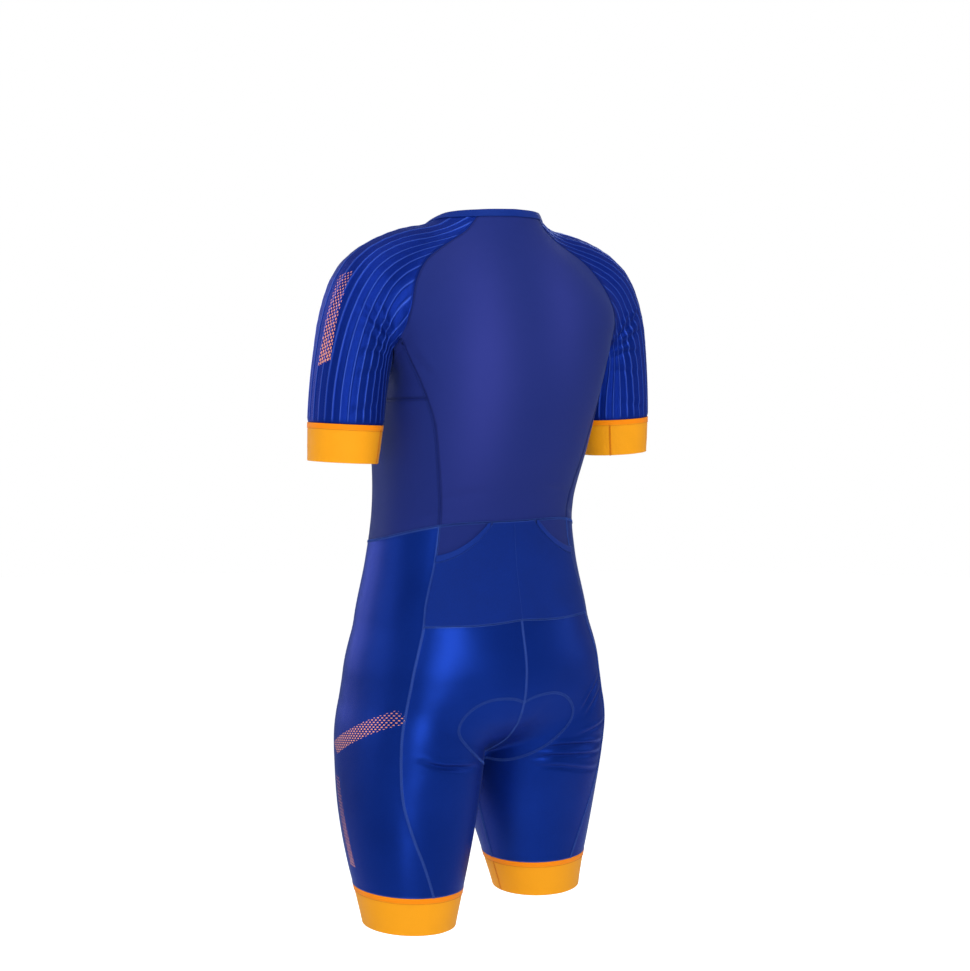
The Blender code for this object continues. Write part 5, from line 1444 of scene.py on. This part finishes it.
def make_pocket():
    """Lower back, the pocket on it and the bindings of the pocket's two mouths."""
    grid = lower_back_grid()
    sheet = fine_sheet(grid, sizes().step)
    cloth_piece("lower_back_cloth", "lower_back", "lower_back", sheet, mesh_cloth())

    across = np.linspace(0, 1, 97)
    down = np.linspace(0, 1, 41)[:, None]
    tape = POCKET_TAPE / np.linalg.norm(grid[0, STEPS_BACK // 2] - grid[-1, STEPS_BACK // 2])
    places = 1 - (1 - down) * mouth_share(across)
    panel = grid_sheet(grid, np.broadcast_to(across, places.shape), places, WALL + LAID_GAP)
    cloth_piece("pocket_cloth", "pocket_panel", "pocket_panel", panel, pocket_mesh_cloth())

    share_across = np.linspace(0, POCKET_TAPE_END, 40)
    for name, share in (("left", share_across), ("right", 1 - share_across[::-1])):
        low = mouth_share(share)
        strip = 1 - (low + np.linspace(1, 0, 9)[:, None] * np.minimum(tape, 1 - low))
        lift = WALL + LAID_GAP + FOLDED_EXTRA
        tape_sheet = grid_sheet(grid, np.broadcast_to(share, strip.shape), strip, lift)
        bulge = np.sin(math.pi * np.linspace(0.04, 0.96, len(strip)))[:, None] ** 0.5
        tape_sheet.lift = lift + 0.0004 * np.broadcast_to(bulge, tape_sheet.points.shape[:2])
        cloth_piece(f"pocket_binding_cloth_{name}", f"pocket_binding_{name}", "pocket_binding",
                    tape_sheet, binding_cloth(), BINDING_THICKNESS)


def pocket_mesh_cloth():
    """Smoother, brighter mesh of the pocket."""
    c = colours()
    return knit_material("pocket_mesh", c.lycra_light, c.mesh_dark, 0.66, (0.0012, 0.0010), 0.00014, 0.6,
                         seam=(c.seam_light, 0.0018, 0.5), specular=0.15, metallic=0.2)


def grid_sheet(grid, across, down, lift):
    """A sheet on part of a panel, at shares across and down it."""
    return Sheet(onto(grid_at(grid, across, down), rounds=3), lift=lift)


def make_shorts():
    """Front, side and seat panels of satin knit."""
    seams = all_seams()
    angles = seams["hem_angles"]
    hem = hem_points(angles, HEM_SEAM_Z)
    front_end = STEPS_FRONT + 1
    side_end = front_end + STEPS_SIDE
    hem[0] = hem[-1] = seams["inseam"][-1]
    hem[front_end], hem[side_end] = seams["front_leg"][-1], seams["back_leg"][-1]
    plain = lycra_cloth()

    middle = np.vstack([seams["crotch_front"], seams["inseam"][1:]])
    top = np.vstack([seams["waist_zip"][:1], seams["waist_front"]])
    grid = between(top, hem[: front_end + 1], middle, seams["front_leg"], round_leg, from_leg)
    cloth_pair("short_front_cloth", "short_front", half_sheet(grid), plain)
    side = np.vstack([seams["back_hip"], seams["back_leg"][1:]])
    grid = between(seams["waist_side"], hem[front_end: side_end + 1], seams["front_leg"], side,
                   round_leg, from_leg)
    sheet = half_sheet(grid)
    shapes, sheet.bands = band_places(sheet, THIGH_BANDS)
    cloth_pair("leg_side_cloth", "leg_side", sheet, lycra_cloth("satin_lycra_printed", shapes))
    middle = np.vstack([seams["crotch_back"], seams["inseam"][1:]])
    hip = seams["hip"][: STEPS_BACK // 2 + 1]
    grid = between(hip, hem[side_end:], seams["back_leg"], middle, round_leg, from_leg)
    cloth_pair("seat_cloth", "seat", half_sheet(grid, 0.5), plain)


def half_sheet(grid, share=1.0):
    """A panel of one half, on its own side of the middle seam, with rows closer by a share."""
    sheet = fine_sheet(grid, share * sizes().step, sizes().step)
    sheet.points[..., 0] = np.maximum(sheet.points[..., 0], VISIBLE_GAP / 2)
    sheet.seam_relief = FLATLOCK_RISE
    return sheet


# Printed bands: both ends on the figure, half the width, the pitch of the marks, and how they slant.
SLEEVE_BANDS = (((0.212, -0.004, -0.088), (0.226, 0.036, -0.184), 0.0100, 0.0040, 0.45),)
THIGH_BANDS = (((0.164, 0.022, -0.600), (0.190, -0.046, -0.696), 0.0105, 0.0042, 0.60),
               ((0.190, -0.056, -0.712), (0.178, -0.062, -0.812), 0.0075, 0.0040, -0.30))


def band_places(sheet, bands):
    """Every printed band's shader values, and each point's place across and along it and its facing."""
    shapes, places = [], []
    for k, (start, end, half_width, pitch, slant) in enumerate(bands):
        start, end = np.array(start), np.array(end)
        middle, way = (start + end) / 2, unit(end - start)
        centre = np.unravel_index(np.argmin(np.linalg.norm(sheet.points - middle, axis=-1)),
                                  sheet.points.shape[:2])
        out = sheet.away[centre]
        side = unit(np.cross(way, out))
        off = sheet.points - middle
        places.append((f"band_{k}", np.stack([off @ side, off @ way, sheet.away @ out], axis=-1)))
        shapes.append((f"band_{k}", {"Half Width": half_width, "Pitch": pitch, "Slant": slant,
                                     "Half Length": float(np.linalg.norm(end - start)) / 2}))
    return shapes, places


CUFF_RADIUS = 0.045                     # rough radius of the sleeve's cuff


def cuff_sheet(rings, part):
    """A cuff with a doubled strip along its top."""
    sheet = fine_sheet(np.stack(rings), 0.0016, 0.0032, closed=True, part=part)
    down = sheet.down[:, :-1]
    sheet.lift = FOLDED_EXTRA * (1 - ramp(down, CUFF_STRIP - 0.0004, CUFF_STRIP + 0.0008))
    return sheet


def sleeve_ring(drop):
    """A ring round the sleeve, so far below the top of its cuff."""
    place = np.interp(-SLEEVE_SEAM_Z + drop, -ARM["z"], ARM["place"])
    ring = np.stack([np.full(RIB_COUNT, place), sleeve_turn(), np.full(RIB_COUNT, CUFF_RADIUS)], axis=-1)
    return onto(from_arm(ring), ("sleeve",))


def make_cuffs():
    """Elastic gripper bands of the legs and sleeves."""
    angles = all_seams()["hem_angles"][:-1]
    finish = cuff_material()
    for stem, height, ring, part in (
            ("leg_cuff", LEG_CUFF_HEIGHT, lambda drop: hem_points(angles, HEM_SEAM_Z - drop), "trunk"),
            ("sleeve_cuff", SLEEVE_CUFF_HEIGHT, sleeve_ring, "sleeve")):
        rings = [ring(drop) for drop in np.linspace(0, height, 6)]
        cloth_pair(f"{stem}_band", stem, cuff_sheet(rings, part), finish, CUFF_THICKNESS)


def sleeve_loop():
    """The sleeve's top seam all round, and its places round the arm."""
    seams = all_seams()
    if "sleeve_top" not in seams:
        neck = neckline(np.linspace(BACK_RAGLAN_ANGLE, FRONT_RAGLAN_ANGLE, RIBS_NECK + 1))
        loop = np.vstack([seams["back_raglan"][::-1][:-1], neck[:-1], seams["front_raglan"][:-1],
                          seams["underarm"][::-1][:-1]])
        loop[RIBS_BACK_RAGLAN] = seams["back_raglan"][0]
        seams["sleeve_top"], seams["sleeve_places"] = loop, round_arm(loop)
    return seams["sleeve_top"], seams["sleeve_places"]


def sleeve_turn():
    """Even angles round the arm at the sleeve's hem, nearest to the angles of its top seam."""
    _, places = sleeve_loop()
    top_turn = np.unwrap(places[:, 1])
    turn = -2 * math.pi if top_turn[-1] < top_turn[0] else 2 * math.pi
    low_turn = turn * np.linspace(0, 1, RIB_COUNT + 1)[:-1]
    return low_turn + np.mean(top_turn - low_turn)


def make_sleeves():
    """Raglan sleeves with raised lines along them."""
    loop, places = sleeve_loop()
    top_turn, low_turn = np.unwrap(places[:, 1]), sleeve_turn()
    cuff_place = float(np.interp(-SLEEVE_SEAM_Z, -ARM["z"], ARM["place"]))
    rows = []
    for share in np.linspace(0, 1, STEPS_SLEEVE + 1):
        place = places[:, 0] + (cuff_place - places[:, 0]) * share
        angle = top_turn + (low_turn - top_turn) * ramp(share, 0, 0.95)
        radius = places[:, 2] + (0.047 - places[:, 2]) * ramp(share, 0, 0.3)
        rows.append(from_arm(np.stack([place, angle, radius], axis=-1)))
    grid = onto(np.stack(rows), ("sleeve",))
    grid[0] = loop
    sheet = fine_sheet(grid, 0.0035, sizes().rib_step, closed=True, part="sleeve")
    sheet.seam_relief = COVERED_DIP
    marks, sheet.bands = band_places(sheet, SLEEVE_BANDS)
    wide = sheet.points.shape[1]
    turn = np.broadcast_to(np.arange(wide) / wide * RIB_COUNT, sheet.points.shape[:2])
    for side, half in (("left", sheet), ("right", sheet.turned_over())):
        count = turn if side == "left" else np.roll(turn[:, ::-1], 1, axis=1)
        thing = panel_object(f"sleeve_base_{side}", half, [("rib_turn", count)])
        made = by_nodes(f"sleeve_cloth_{side}", thing, rib_tree(), {
            "Height": sizes().rib_height, "Width": sizes().rib_width, "Cloth": sleeve_cloth(marks)})
        give_thickness(made, sizes().cloth)
        declare(made, "sleeve", [f"sleeve_{side}"])


RIB_SPACING = 0.0125                    # usual distance from one raised line to the next


def rib_tree():
    """Raises a lattice along its own length at every whole turn number, into narrow lines."""
    if "raised_lines" in bpy.data.node_groups:
        return bpy.data.node_groups["raised_lines"]
    tree, given, result = new_group("raised_lines", "GeometryNodeTree", [
        ("Geometry", "NodeSocketGeometry", None), ("Height", FLOAT, 0.0009), ("Width", FLOAT, 0.0022),
        ("Cloth", "NodeSocketMaterial", None)], [("Geometry", "NodeSocketGeometry")])
    turn = node(tree, "GeometryNodeInputNamedAttribute", {"Name": "rib_turn"}, data_type="FLOAT")
    edge = node(tree, "GeometryNodeInputNamedAttribute", {"Name": "edge"}, data_type="FLOAT")
    off = maths(tree, "ABSOLUTE", maths(tree, "SUBTRACT", maths(tree, "FRACT", turn), 0.5))
    near = maths(tree, "DIVIDE", maths(tree, "MULTIPLY", off, RIB_SPACING), given["Width"])
    crest = maths(tree, "EXPONENT", maths(tree, "MULTIPLY", maths(tree, "MULTIPLY", near, near), -4.0))
    fade = node(tree, "ShaderNodeMapRange", {0: edge, 1: 0.0, 2: 0.006})
    rib = maths(tree, "MULTIPLY", crest, fade)
    # The crest share is kept for the painted highlight of the sleeve's cloth.
    kept = node(tree, "GeometryNodeStoreNamedAttribute", {"Geometry": given[0], "Name": "rib",
                                                          "Value": rib}, data_type="FLOAT", domain="POINT")
    normal = node(tree, "GeometryNodeInputNormal")
    offset = node(tree, "ShaderNodeVectorMath", {0: normal, "Scale": maths(tree, "MULTIPLY", rib,
                                                                           given["Height"])},
                  operation="SCALE")
    moved = node(tree, "GeometryNodeSetPosition", {"Geometry": kept, "Offset": offset})
    real = node(tree, "GeometryNodeRealizeInstances", {0: moved})
    painted = node(tree, "GeometryNodeSetMaterial", {"Geometry": real,
                                                     "Material": given["Cloth"]})
    feed(tree, result[0], painted)
    return tree


def sleeve_cloth(marks):
    """Ribbed knit with a painted highlight along its crests, and a printed band."""
    if "ribbed_knit" in bpy.data.materials:
        return bpy.data.materials["ribbed_knit"]
    c = colours()
    made = knit_material("ribbed_knit", c.sleeve, c.lycra_dark, 0.40, (0.0006, 0.0005), 0.00006, 0.8,
                         seam=(c.seam_dark, 0.0022, 0.6), metallic=0.5, marks=marks)
    tree = made.node_tree
    shader = tree.nodes["Principled BSDF"]
    # Painted highlight: the crests of the raised lines turn towards the rib colour.
    crest = node(tree, "ShaderNodeAttribute", attribute_name="rib").outputs["Fac"]
    share = maths(tree, "MULTIPLY", maths(tree, "POWER", crest, 1.8), 0.65)
    before = shader.inputs["Base Color"].links[0].from_socket
    tree.links.new(mix_colour(tree, share, before, c.rib), shader.inputs["Base Color"])
    return made


NECK_LAP = 0.0016                       # how far the binding laps over the panels


def make_neckband():
    """Folded binding round the neck, open at the zip."""
    seams = all_seams()
    left = np.concatenate([
        np.linspace(seams["neck_zip_angle"], FRONT_RAGLAN_ANGLE, STEPS_FRONT + 1)[:-1],
        np.linspace(FRONT_RAGLAN_ANGLE, BACK_RAGLAN_ANGLE, RIBS_NECK + 1)[:-1],
        np.linspace(BACK_RAGLAN_ANGLE, 180, STEPS_BACK // 2 + 1)])
    angles = np.concatenate([left, 360 - left[-2::-1]])
    low = neckline(angles)
    high = low + NECKBAND_HEIGHT * unit(neckline(angles, NECKBAND_LIFT) - low)
    under = low - NECK_LAP * unit(high - low)
    sheet = fine_sheet(np.stack([high, (high + under) / 2, under]), 0.0008, 0.0025)
    share = sheet.down / sheet.down[-1:]
    sheet.lift = 0.0007 + 0.0006 * np.sqrt(np.sin(math.pi * np.clip(share, 0.01, 0.99)))
    cloth_piece("neck_binding_cloth", "neckband", "neckband", sheet, binding_cloth(),
                BINDING_THICKNESS)


COIL_OFFSET = 0.0012                    # from the middle of the zip to the middle of either coil


def make_zip():
    """Zip tapes, the coil between them, and the painted slider and pull."""
    seams = all_seams()
    lines = [seams["zip_middle"], seams["coil_edge"], seams["zip_edge"]]
    top = neckline([seams["neck_zip_angle"]])
    up = NECKBAND_HEIGHT * unit(neckline([seams["neck_zip_angle"]], NECKBAND_LIFT) - top)
    share = [line[0, 0] / top[0, 0] for line in lines]
    grid = np.stack([np.vstack([line[:1] + up * [x, 1, 1], line]) for x, line in zip(share, lines)], axis=1)
    weave = knit_material("zip_tape_weave", colours().binding, colours().mesh_dark, 0.6,
                          (0.0006, 0.0009), 0.00008, 0.8)
    cloth_pair("zip_tape_cloth", "zip_tape", fine_sheet(grid, 0.0024, 0.0010), weave,
               TAPE_THICKNESS)

    coil = thread_material("coil_nylon", colours().mesh_dark)
    line, out = seam_line(seams["zip_middle"], height=2 * STITCH_HEIGHT)
    for label, side in (("right", -1), ("left", 1)):
        stitch_run(f"zip_coil_{label}", [(line + [side * COIL_OFFSET, 0, 0], out)], coil, "zip",
                   Pitch=sizes().coil_pitch, Length=0.0034, Radius=0.00038, Arch=0.0005,
                   Turn=math.pi / 2, Slant=0.10 * side)
    for name in ("zip_slider", "zip_pull"):
        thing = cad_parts[name]
        for slot in thing.material_slots:
            slot.material = metal_material()
        if not thing.material_slots:
            thing.data.materials.append(metal_material())


PAD_CLEARANCE = 0.0012                  # foam held away from the cloth's dips


def make_pad():
    """Brushed, foam-backed seat pad inside the shorts, from its own solid."""
    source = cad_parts["seat_pad"]
    mesh = source.data.copy()
    shell = bmesh.new()
    shell.from_mesh(mesh)
    bmesh.ops.remove_doubles(shell, verts=shell.verts[:], dist=1e-5)
    bmesh.ops.join_triangles(shell, faces=shell.faces[:], angle_face_threshold=math.radians(35),
                             angle_shape_threshold=math.radians(60))
    shell.to_mesh(mesh)
    shell.free()
    mesh.materials.clear()
    pad = new_object("seat_pad_foam", mesh)
    mesh.materials.append(pad_material())
    mesh.shade_smooth()
    rounding = pad.modifiers.new("foam", "SUBSURF")
    rounding.levels = rounding.render_levels = 2
    clear = pad.modifiers.new("clear_of_cloth", "DISPLACE")
    clear.mid_level, clear.strength = 0.0, -PAD_CLEARANCE
    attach(pad, "suit")
    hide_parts("seat_pad")


PAD_OUTLINE = ((0.000, 0.088, -0.616), (0.018, 0.090, -0.610), (0.046, 0.087, -0.609),
               (0.070, 0.081, -0.618), (0.085, 0.074, -0.636), (0.083, 0.070, -0.654),
               (0.062, 0.062, -0.676), (0.040, 0.046, -0.692), (0.022, 0.016, -0.702),
               (0.018, -0.020, -0.700), (0.026, -0.056, -0.688), (0.034, -0.086, -0.664),
               (0.024, -0.110, -0.640), (0.000, -0.118, -0.632))


def pad_outline():
    """Where the pad is sewn through the shorts, on the left half, from the back to the front."""
    return onto(through(np.array(PAD_OUTLINE), np.linspace(0, len(PAD_OUTLINE) - 1, 79), False), rounds=6)


ALLOWANCE_WIDTH = 0.0048
ALLOWANCE_THICKNESS = 0.0004
ALLOWANCE_CLEARANCE = 0.00025           # between the cloth and what is turned in under it


def make_seams():
    """Flatlock thread over the shorts' seams, twin rows beside the upper body's, and their allowances."""
    seams = all_seams()
    light = thread_material("flatlock_thread", colours().seam_light)
    dark = thread_material("cover_thread", colours().seam_dark)
    halves = both_halves([seams["waist_side"], seams["waist_front"], seams["front_leg"],
                          np.vstack([seams["back_hip"], seams["back_leg"][1:]]), seams["inseam"]])
    whole = [seams["waist_back"], seams["hip"], seams["crotch_back"], seams["crotch_front"]]
    flatlocked = halves + both_halves([pad_outline()]) + whole
    width = sizes().flatlock_width
    stitch_run("flatlock_cover", [seam_line(line, height=0.00035) for line in flatlocked], light, "lycra",
               Pitch=sizes().flatlock_pitch, Length=width, Arch=0.00025, Turn=math.pi / 2, Slant=0.42)
    stitch_run("flatlock_rows", twin_rows(flatlocked, 0.42 * width, 0.00035), light, "lycra", Pitch=0.0032,
               Length=0.0029, Arch=0.00025)

    upper = both_halves([np.vstack([seams["back_side_gusset"], seams["back_side"][1:]]),
                         np.vstack([seams["front_side_gusset"], seams["front_side"][1:]]),
                         seams["gusset_low"], seams["back_raglan"], seams["front_raglan"],
                         seams["underarm"]])
    pitch = sizes().stitch_pitch
    stitch_run("cover_rows", twin_rows(upper, sizes().row_gap, 0.0002), dark, "mesh", Pitch=pitch,
               Length=0.8 * pitch, Arch=0.0002)
    make_allowances(halves + whole + upper, dark)


def twin_rows(lines, gap, height):
    """A row of stitches on either side of every seam."""
    return [seam_line(line, side_shift=side * gap, height=height) for line in lines for side in (-1, 1)]


def make_allowances(lines, thread):
    """The panels' overlocked edges, turned in flat under every seam."""
    depth = sizes().cloth + ALLOWANCE_CLEARANCE
    points, faces, start = [], [], 0
    for line in lines:
        edges = [seam_line(line, side_shift=shift * ALLOWANCE_WIDTH / 2, height=-depth)
                 for shift in (-1, 0, 1)]
        strip = np.stack([edge[1:-1:2] for edge, _ in edges], axis=1)
        corners = start + lattice_faces(len(strip), 3)
        if np.cross(strip[1, 0] - strip[0, 0], strip[0, 1] - strip[0, 0]) @ edges[0][1][1] < 0:
            corners = corners[:, ::-1]
        points.append(strip.reshape(-1, 3))
        faces.append(corners)
        start += strip.size // 3
    mesh = bpy.data.meshes.new("seam_allowances")
    mesh.from_pydata(np.vstack(points).tolist(), [], np.vstack(faces).tolist())
    mesh.materials.append(thread)
    mesh.shade_smooth()
    thing = give_thickness(new_object("seam_allowances", mesh), ALLOWANCE_THICKNESS)
    declare(thing, "seam_allowances", [])


CUFF_THREAD = (0.90, 0.20, 0.003)


def make_edge_stitches():
    """Stitch rows along the cuffs' strips, the joins of the cuffs, and the row down the pocket's middle."""
    angles = all_seams()["hem_angles"][:-1]
    orange = thread_material("cuff_thread", CUFF_THREAD)
    below_strip = CUFF_STRIP + 0.0008
    leg_down, arm_down = [np.linspace(CUFF_STRIP, height, 8)
                          for height in (LEG_CUFF_HEIGHT, SLEEVE_CUFF_HEIGHT)]
    leg_join = np.array([hem_points(angles[:1], HEM_SEAM_Z - drop)[0] for drop in leg_down])
    arm_join = np.array([sleeve_ring(drop)[0] for drop in arm_down])
    rings, joins = [], []
    for part, ring, join in (("trunk", hem_points(angles, HEM_SEAM_Z - below_strip), leg_join),
                             ("sleeve", sleeve_ring(below_strip), arm_join)):
        rings += [seam_line(half, part, closed=True) for half in both_halves([ring])]
        joins += [seam_line(half, part) for half in both_halves([join])]
    stitch_run("cuff_rows", rings, orange, "cuff", Pitch=0.0024, Length=0.0020, Arch=0.0003)
    stitch_run("cuff_joins", joins, orange, "cuff", Pitch=0.0009, Length=0.0030, Arch=0.0003,
               Turn=math.pi / 2, Slant=0.3)

    line = grid_at(lower_back_grid(), np.full(24, 0.5), np.linspace(0.03, 0.99, 24))
    stitch_run("pocket_middle_row", [seam_line(line, height=WALL + LAID_GAP + 0.0002)],
               thread_material("flatlock_thread", colours().seam_light), "binding", Pitch=0.0028,
               Length=0.0023, Radius=0.00014, Arch=0.00015)


# ---------------------------------------------------------------- stage
CAMERA_AZIMUTH = 148
CAMERA_DISTANCE = 2.2
CAMERA_HEIGHT = -0.288
FOCAL_LENGTH = 1694 * 36 / 970
PICTURE_WIDTH, PICTURE_HEIGHT = 970, 971
LOOK_AT = (486, 440)                    # where the level line of sight meets the picture, in its pixels


def round_about(azimuth, distance, height):
    """A place round the suit, from an angle counted as the camera's is."""
    turn = math.radians(azimuth)
    return (distance * math.sin(turn), -distance * math.cos(turn), height)


def area_light(name, place, size, power):
    """A soft rectangular light that looks at the middle of the suit."""
    lamp = bpy.data.lights.new(name, "AREA")
    lamp.shape, (lamp.size, lamp.size_y), lamp.energy = "RECTANGLE", size, power
    thing = new_object(name, lamp)
    thing.location = place
    thing.rotation_euler = (Vector(LIGHTS_AIM) - Vector(place)).to_track_quat("-Z", "Y").to_euler()


LIGHTS_AIM = (0, 0, -0.45)
# Lights: azimuth, distance, height, size, which power of the stage they share and how much of it.
LIGHTS = (("key", 157, 2.6, 0.35, (0.7, 2.2), "key", 1.0), ("fill", 64, 2.7, 0.45, (0.9, 2.2), "fill", 0.42),
          ("left_edge", 22, 2.7, 0.35, (0.8, 2.2), "fill", 0.6),
          ("right_edge", 248, 2.7, 0.35, (0.5, 2.2), "fill", 0.25),
          ("front", -45, 3.0, 0.6, (1.4, 1.8), "fill", 0.8),
          ("top", 135, 0.7071, 2.2, (1.6, 1.6), "fill", 0.6))


def make_stage():
    """Pale studio floor and backdrop, soft lights and the camera."""
    scene = bpy.context.scene
    stage = scene.triathlon_suit_stage
    scene.view_settings.view_transform = "Standard"
    world = bpy.data.worlds.new("studio_room")
    scene.world = world
    world.use_nodes = True
    tree = world.node_tree
    seen = node(tree, "ShaderNodeLightPath").outputs["Is Camera Ray"]
    strength = node(tree, "ShaderNodeMix", {0: seen, 2: stage.room, 3: 1.0}).outputs[0]
    tree.links.new(strength, tree.nodes["Background"].inputs["Strength"])
    tree.nodes["Background"].inputs["Color"].default_value = (1.0, 1.0, 1.0, 1.0)

    shell = bmesh.new()
    bmesh.ops.create_circle(shell, cap_ends=True, radius=14.0, segments=96)
    mesh = bpy.data.meshes.new("studio_floor")
    shell.to_mesh(mesh)
    shell.free()
    floor = new_object("studio_floor", mesh)
    floor.location = (0, 0, stage.floor_z)
    made, tree, shader = new_material("pale_floor", (0.86, 0.86, 0.86), 0.8)
    place = node(tree, "ShaderNodeTexCoord").outputs["Object"]
    speck = node(tree, "ShaderNodeTexNoise", {"Vector": place, "Scale": 5.0, "Detail": 4.0})
    tree.links.new(mix_colour(tree, speck.outputs["Fac"], (0.84, 0.84, 0.84), (0.88, 0.88, 0.88)),
                   shader.inputs["Base Color"])
    seen = node(tree, "ShaderNodeLightPath").outputs["Is Camera Ray"]
    tree.links.new(mix_colour(tree, seen, (0, 0, 0), (1, 1, 1)), shader.inputs["Emission Color"])
    shader.inputs["Emission Strength"].default_value = stage.glow
    mesh.materials.append(made)
    floor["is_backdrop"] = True

    for name, azimuth, distance, height, size, power, share in LIGHTS:
        area_light(name, round_about(azimuth, distance, height), size, share * getattr(stage, power))

    lens = bpy.data.cameras.new("camera")
    lens.sensor_fit, lens.sensor_width, lens.lens = "HORIZONTAL", 36.0, FOCAL_LENGTH
    lens.shift_x = -(LOOK_AT[0] - PICTURE_WIDTH / 2) / PICTURE_WIDTH
    lens.shift_y = (LOOK_AT[1] - PICTURE_HEIGHT / 2) / PICTURE_WIDTH
    camera = new_object("camera", lens)
    camera.location = round_about(CAMERA_AZIMUTH, CAMERA_DISTANCE, CAMERA_HEIGHT)
    camera.rotation_euler = (math.pi / 2, 0, math.radians(CAMERA_AZIMUTH))
    scene.camera = camera


# ---------------------------------------------------------------- operators and panel
class TRISUIT_OT_upper_body(bpy.types.Operator):
    """Sew the back, fronts, gussets and side panels"""
    bl_idname = "trisuit.upper_body"
    bl_label = "Upper body"

    def execute(self, context):
        make_upper_body()
        return {"FINISHED"}


class TRISUIT_OT_pocket(bpy.types.Operator):
    """Sew the lower back, its pocket and the pocket's bindings"""
    bl_idname = "trisuit.pocket"
    bl_label = "Lower back and pocket"

    def execute(self, context):
        make_pocket()
        return {"FINISHED"}


class TRISUIT_OT_shorts(bpy.types.Operator):
    """Sew the satin panels of the shorts"""
    bl_idname = "trisuit.shorts"
    bl_label = "Shorts"

    def execute(self, context):
        make_shorts()
        return {"FINISHED"}


class TRISUIT_OT_cuffs(bpy.types.Operator):
    """Make the elastic bands of legs and sleeves"""
    bl_idname = "trisuit.cuffs"
    bl_label = "Cuffs"

    def execute(self, context):
        make_cuffs()
        return {"FINISHED"}


class TRISUIT_OT_sleeves(bpy.types.Operator):
    """Sew the ribbed raglan sleeves"""
    bl_idname = "trisuit.sleeves"
    bl_label = "Sleeves"

    def execute(self, context):
        make_sleeves()
        return {"FINISHED"}


class TRISUIT_OT_neckband(bpy.types.Operator):
    """Fold the binding round the neck"""
    bl_idname = "trisuit.neckband"
    bl_label = "Neck binding"

    def execute(self, context):
        make_neckband()
        return {"FINISHED"}


class TRISUIT_OT_zip(bpy.types.Operator):
    """Set in the zip, its coil, slider and pull"""
    bl_idname = "trisuit.zip"
    bl_label = "Zip"

    def execute(self, context):
        make_zip()
        return {"FINISHED"}


class TRISUIT_OT_pad(bpy.types.Operator):
    """Lay the pad into the seat"""
    bl_idname = "trisuit.pad"
    bl_label = "Seat pad"

    def execute(self, context):
        make_pad()
        return {"FINISHED"}


class TRISUIT_OT_seams(bpy.types.Operator):
    """Sew the flatlock and cover seams"""
    bl_idname = "trisuit.seams"
    bl_label = "Seams"

    def execute(self, context):
        make_seams()
        return {"FINISHED"}


class TRISUIT_OT_edge_stitches(bpy.types.Operator):
    """Sew the rows of the cuffs and the pocket"""
    bl_idname = "trisuit.edge_stitches"
    bl_label = "Edge stitches"

    def execute(self, context):
        make_edge_stitches()
        return {"FINISHED"}


class TRISUIT_OT_stage(bpy.types.Operator):
    """Set up the floor, the lights and the camera"""
    bl_idname = "trisuit.stage"
    bl_label = "Stage"

    def execute(self, context):
        make_stage()
        return {"FINISHED"}


STEPS_IN_ORDER = (TRISUIT_OT_upper_body, TRISUIT_OT_pocket, TRISUIT_OT_shorts, TRISUIT_OT_cuffs,
                  TRISUIT_OT_sleeves, TRISUIT_OT_neckband, TRISUIT_OT_zip, TRISUIT_OT_pad,
                  TRISUIT_OT_seams, TRISUIT_OT_edge_stitches, TRISUIT_OT_stage)


class TRISUIT_PT_panel(bpy.types.Panel):
    """Lists the suit's pieces and its sizes and colours"""
    bl_idname = "TRISUIT_PT_panel"
    bl_label = "Triathlon suit"
    bl_space_type = "VIEW_3D"
    bl_region_type = "UI"
    bl_category = "Triathlon suit"

    def draw(self, context):
        for step in STEPS_IN_ORDER:
            self.layout.operator(step.bl_idname)
        for settings in (context.scene.triathlon_suit_sizes, context.scene.triathlon_suit_colours,
                         context.scene.triathlon_suit_stage):
            box = self.layout.box()
            for name in settings.bl_rna.properties.keys():
                if name not in {"rna_type", "name"}:
                    box.prop(settings, name)


CLASSES = (SuitSizes, SuitColours, SuitStage, *STEPS_IN_ORDER, TRISUIT_PT_panel)


def register():
    for thing in CLASSES:
        bpy.utils.register_class(thing)
    bpy.types.Scene.triathlon_suit_sizes = bpy.props.PointerProperty(type=SuitSizes)
    bpy.types.Scene.triathlon_suit_colours = bpy.props.PointerProperty(type=SuitColours)
    bpy.types.Scene.triathlon_suit_stage = bpy.props.PointerProperty(type=SuitStage)


def unregister():
    del bpy.types.Scene.triathlon_suit_stage
    del bpy.types.Scene.triathlon_suit_colours
    del bpy.types.Scene.triathlon_suit_sizes
    for thing in reversed(CLASSES):
        bpy.utils.unregister_class(thing)


def main():
    register()
    for name in ("upper_body", "pocket", "shorts", "cuffs", "sleeves", "neckband", "zip", "pad", "seams",
                 "edge_stitches", "stage"):
        getattr(bpy.ops.trisuit, name)()
    corners = {"cad": CAD_BOX, "visual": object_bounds()}
    {name: [list(corner) for corner in box] for name, box in corners.items()}


if __name__ == "__main__":
    main()
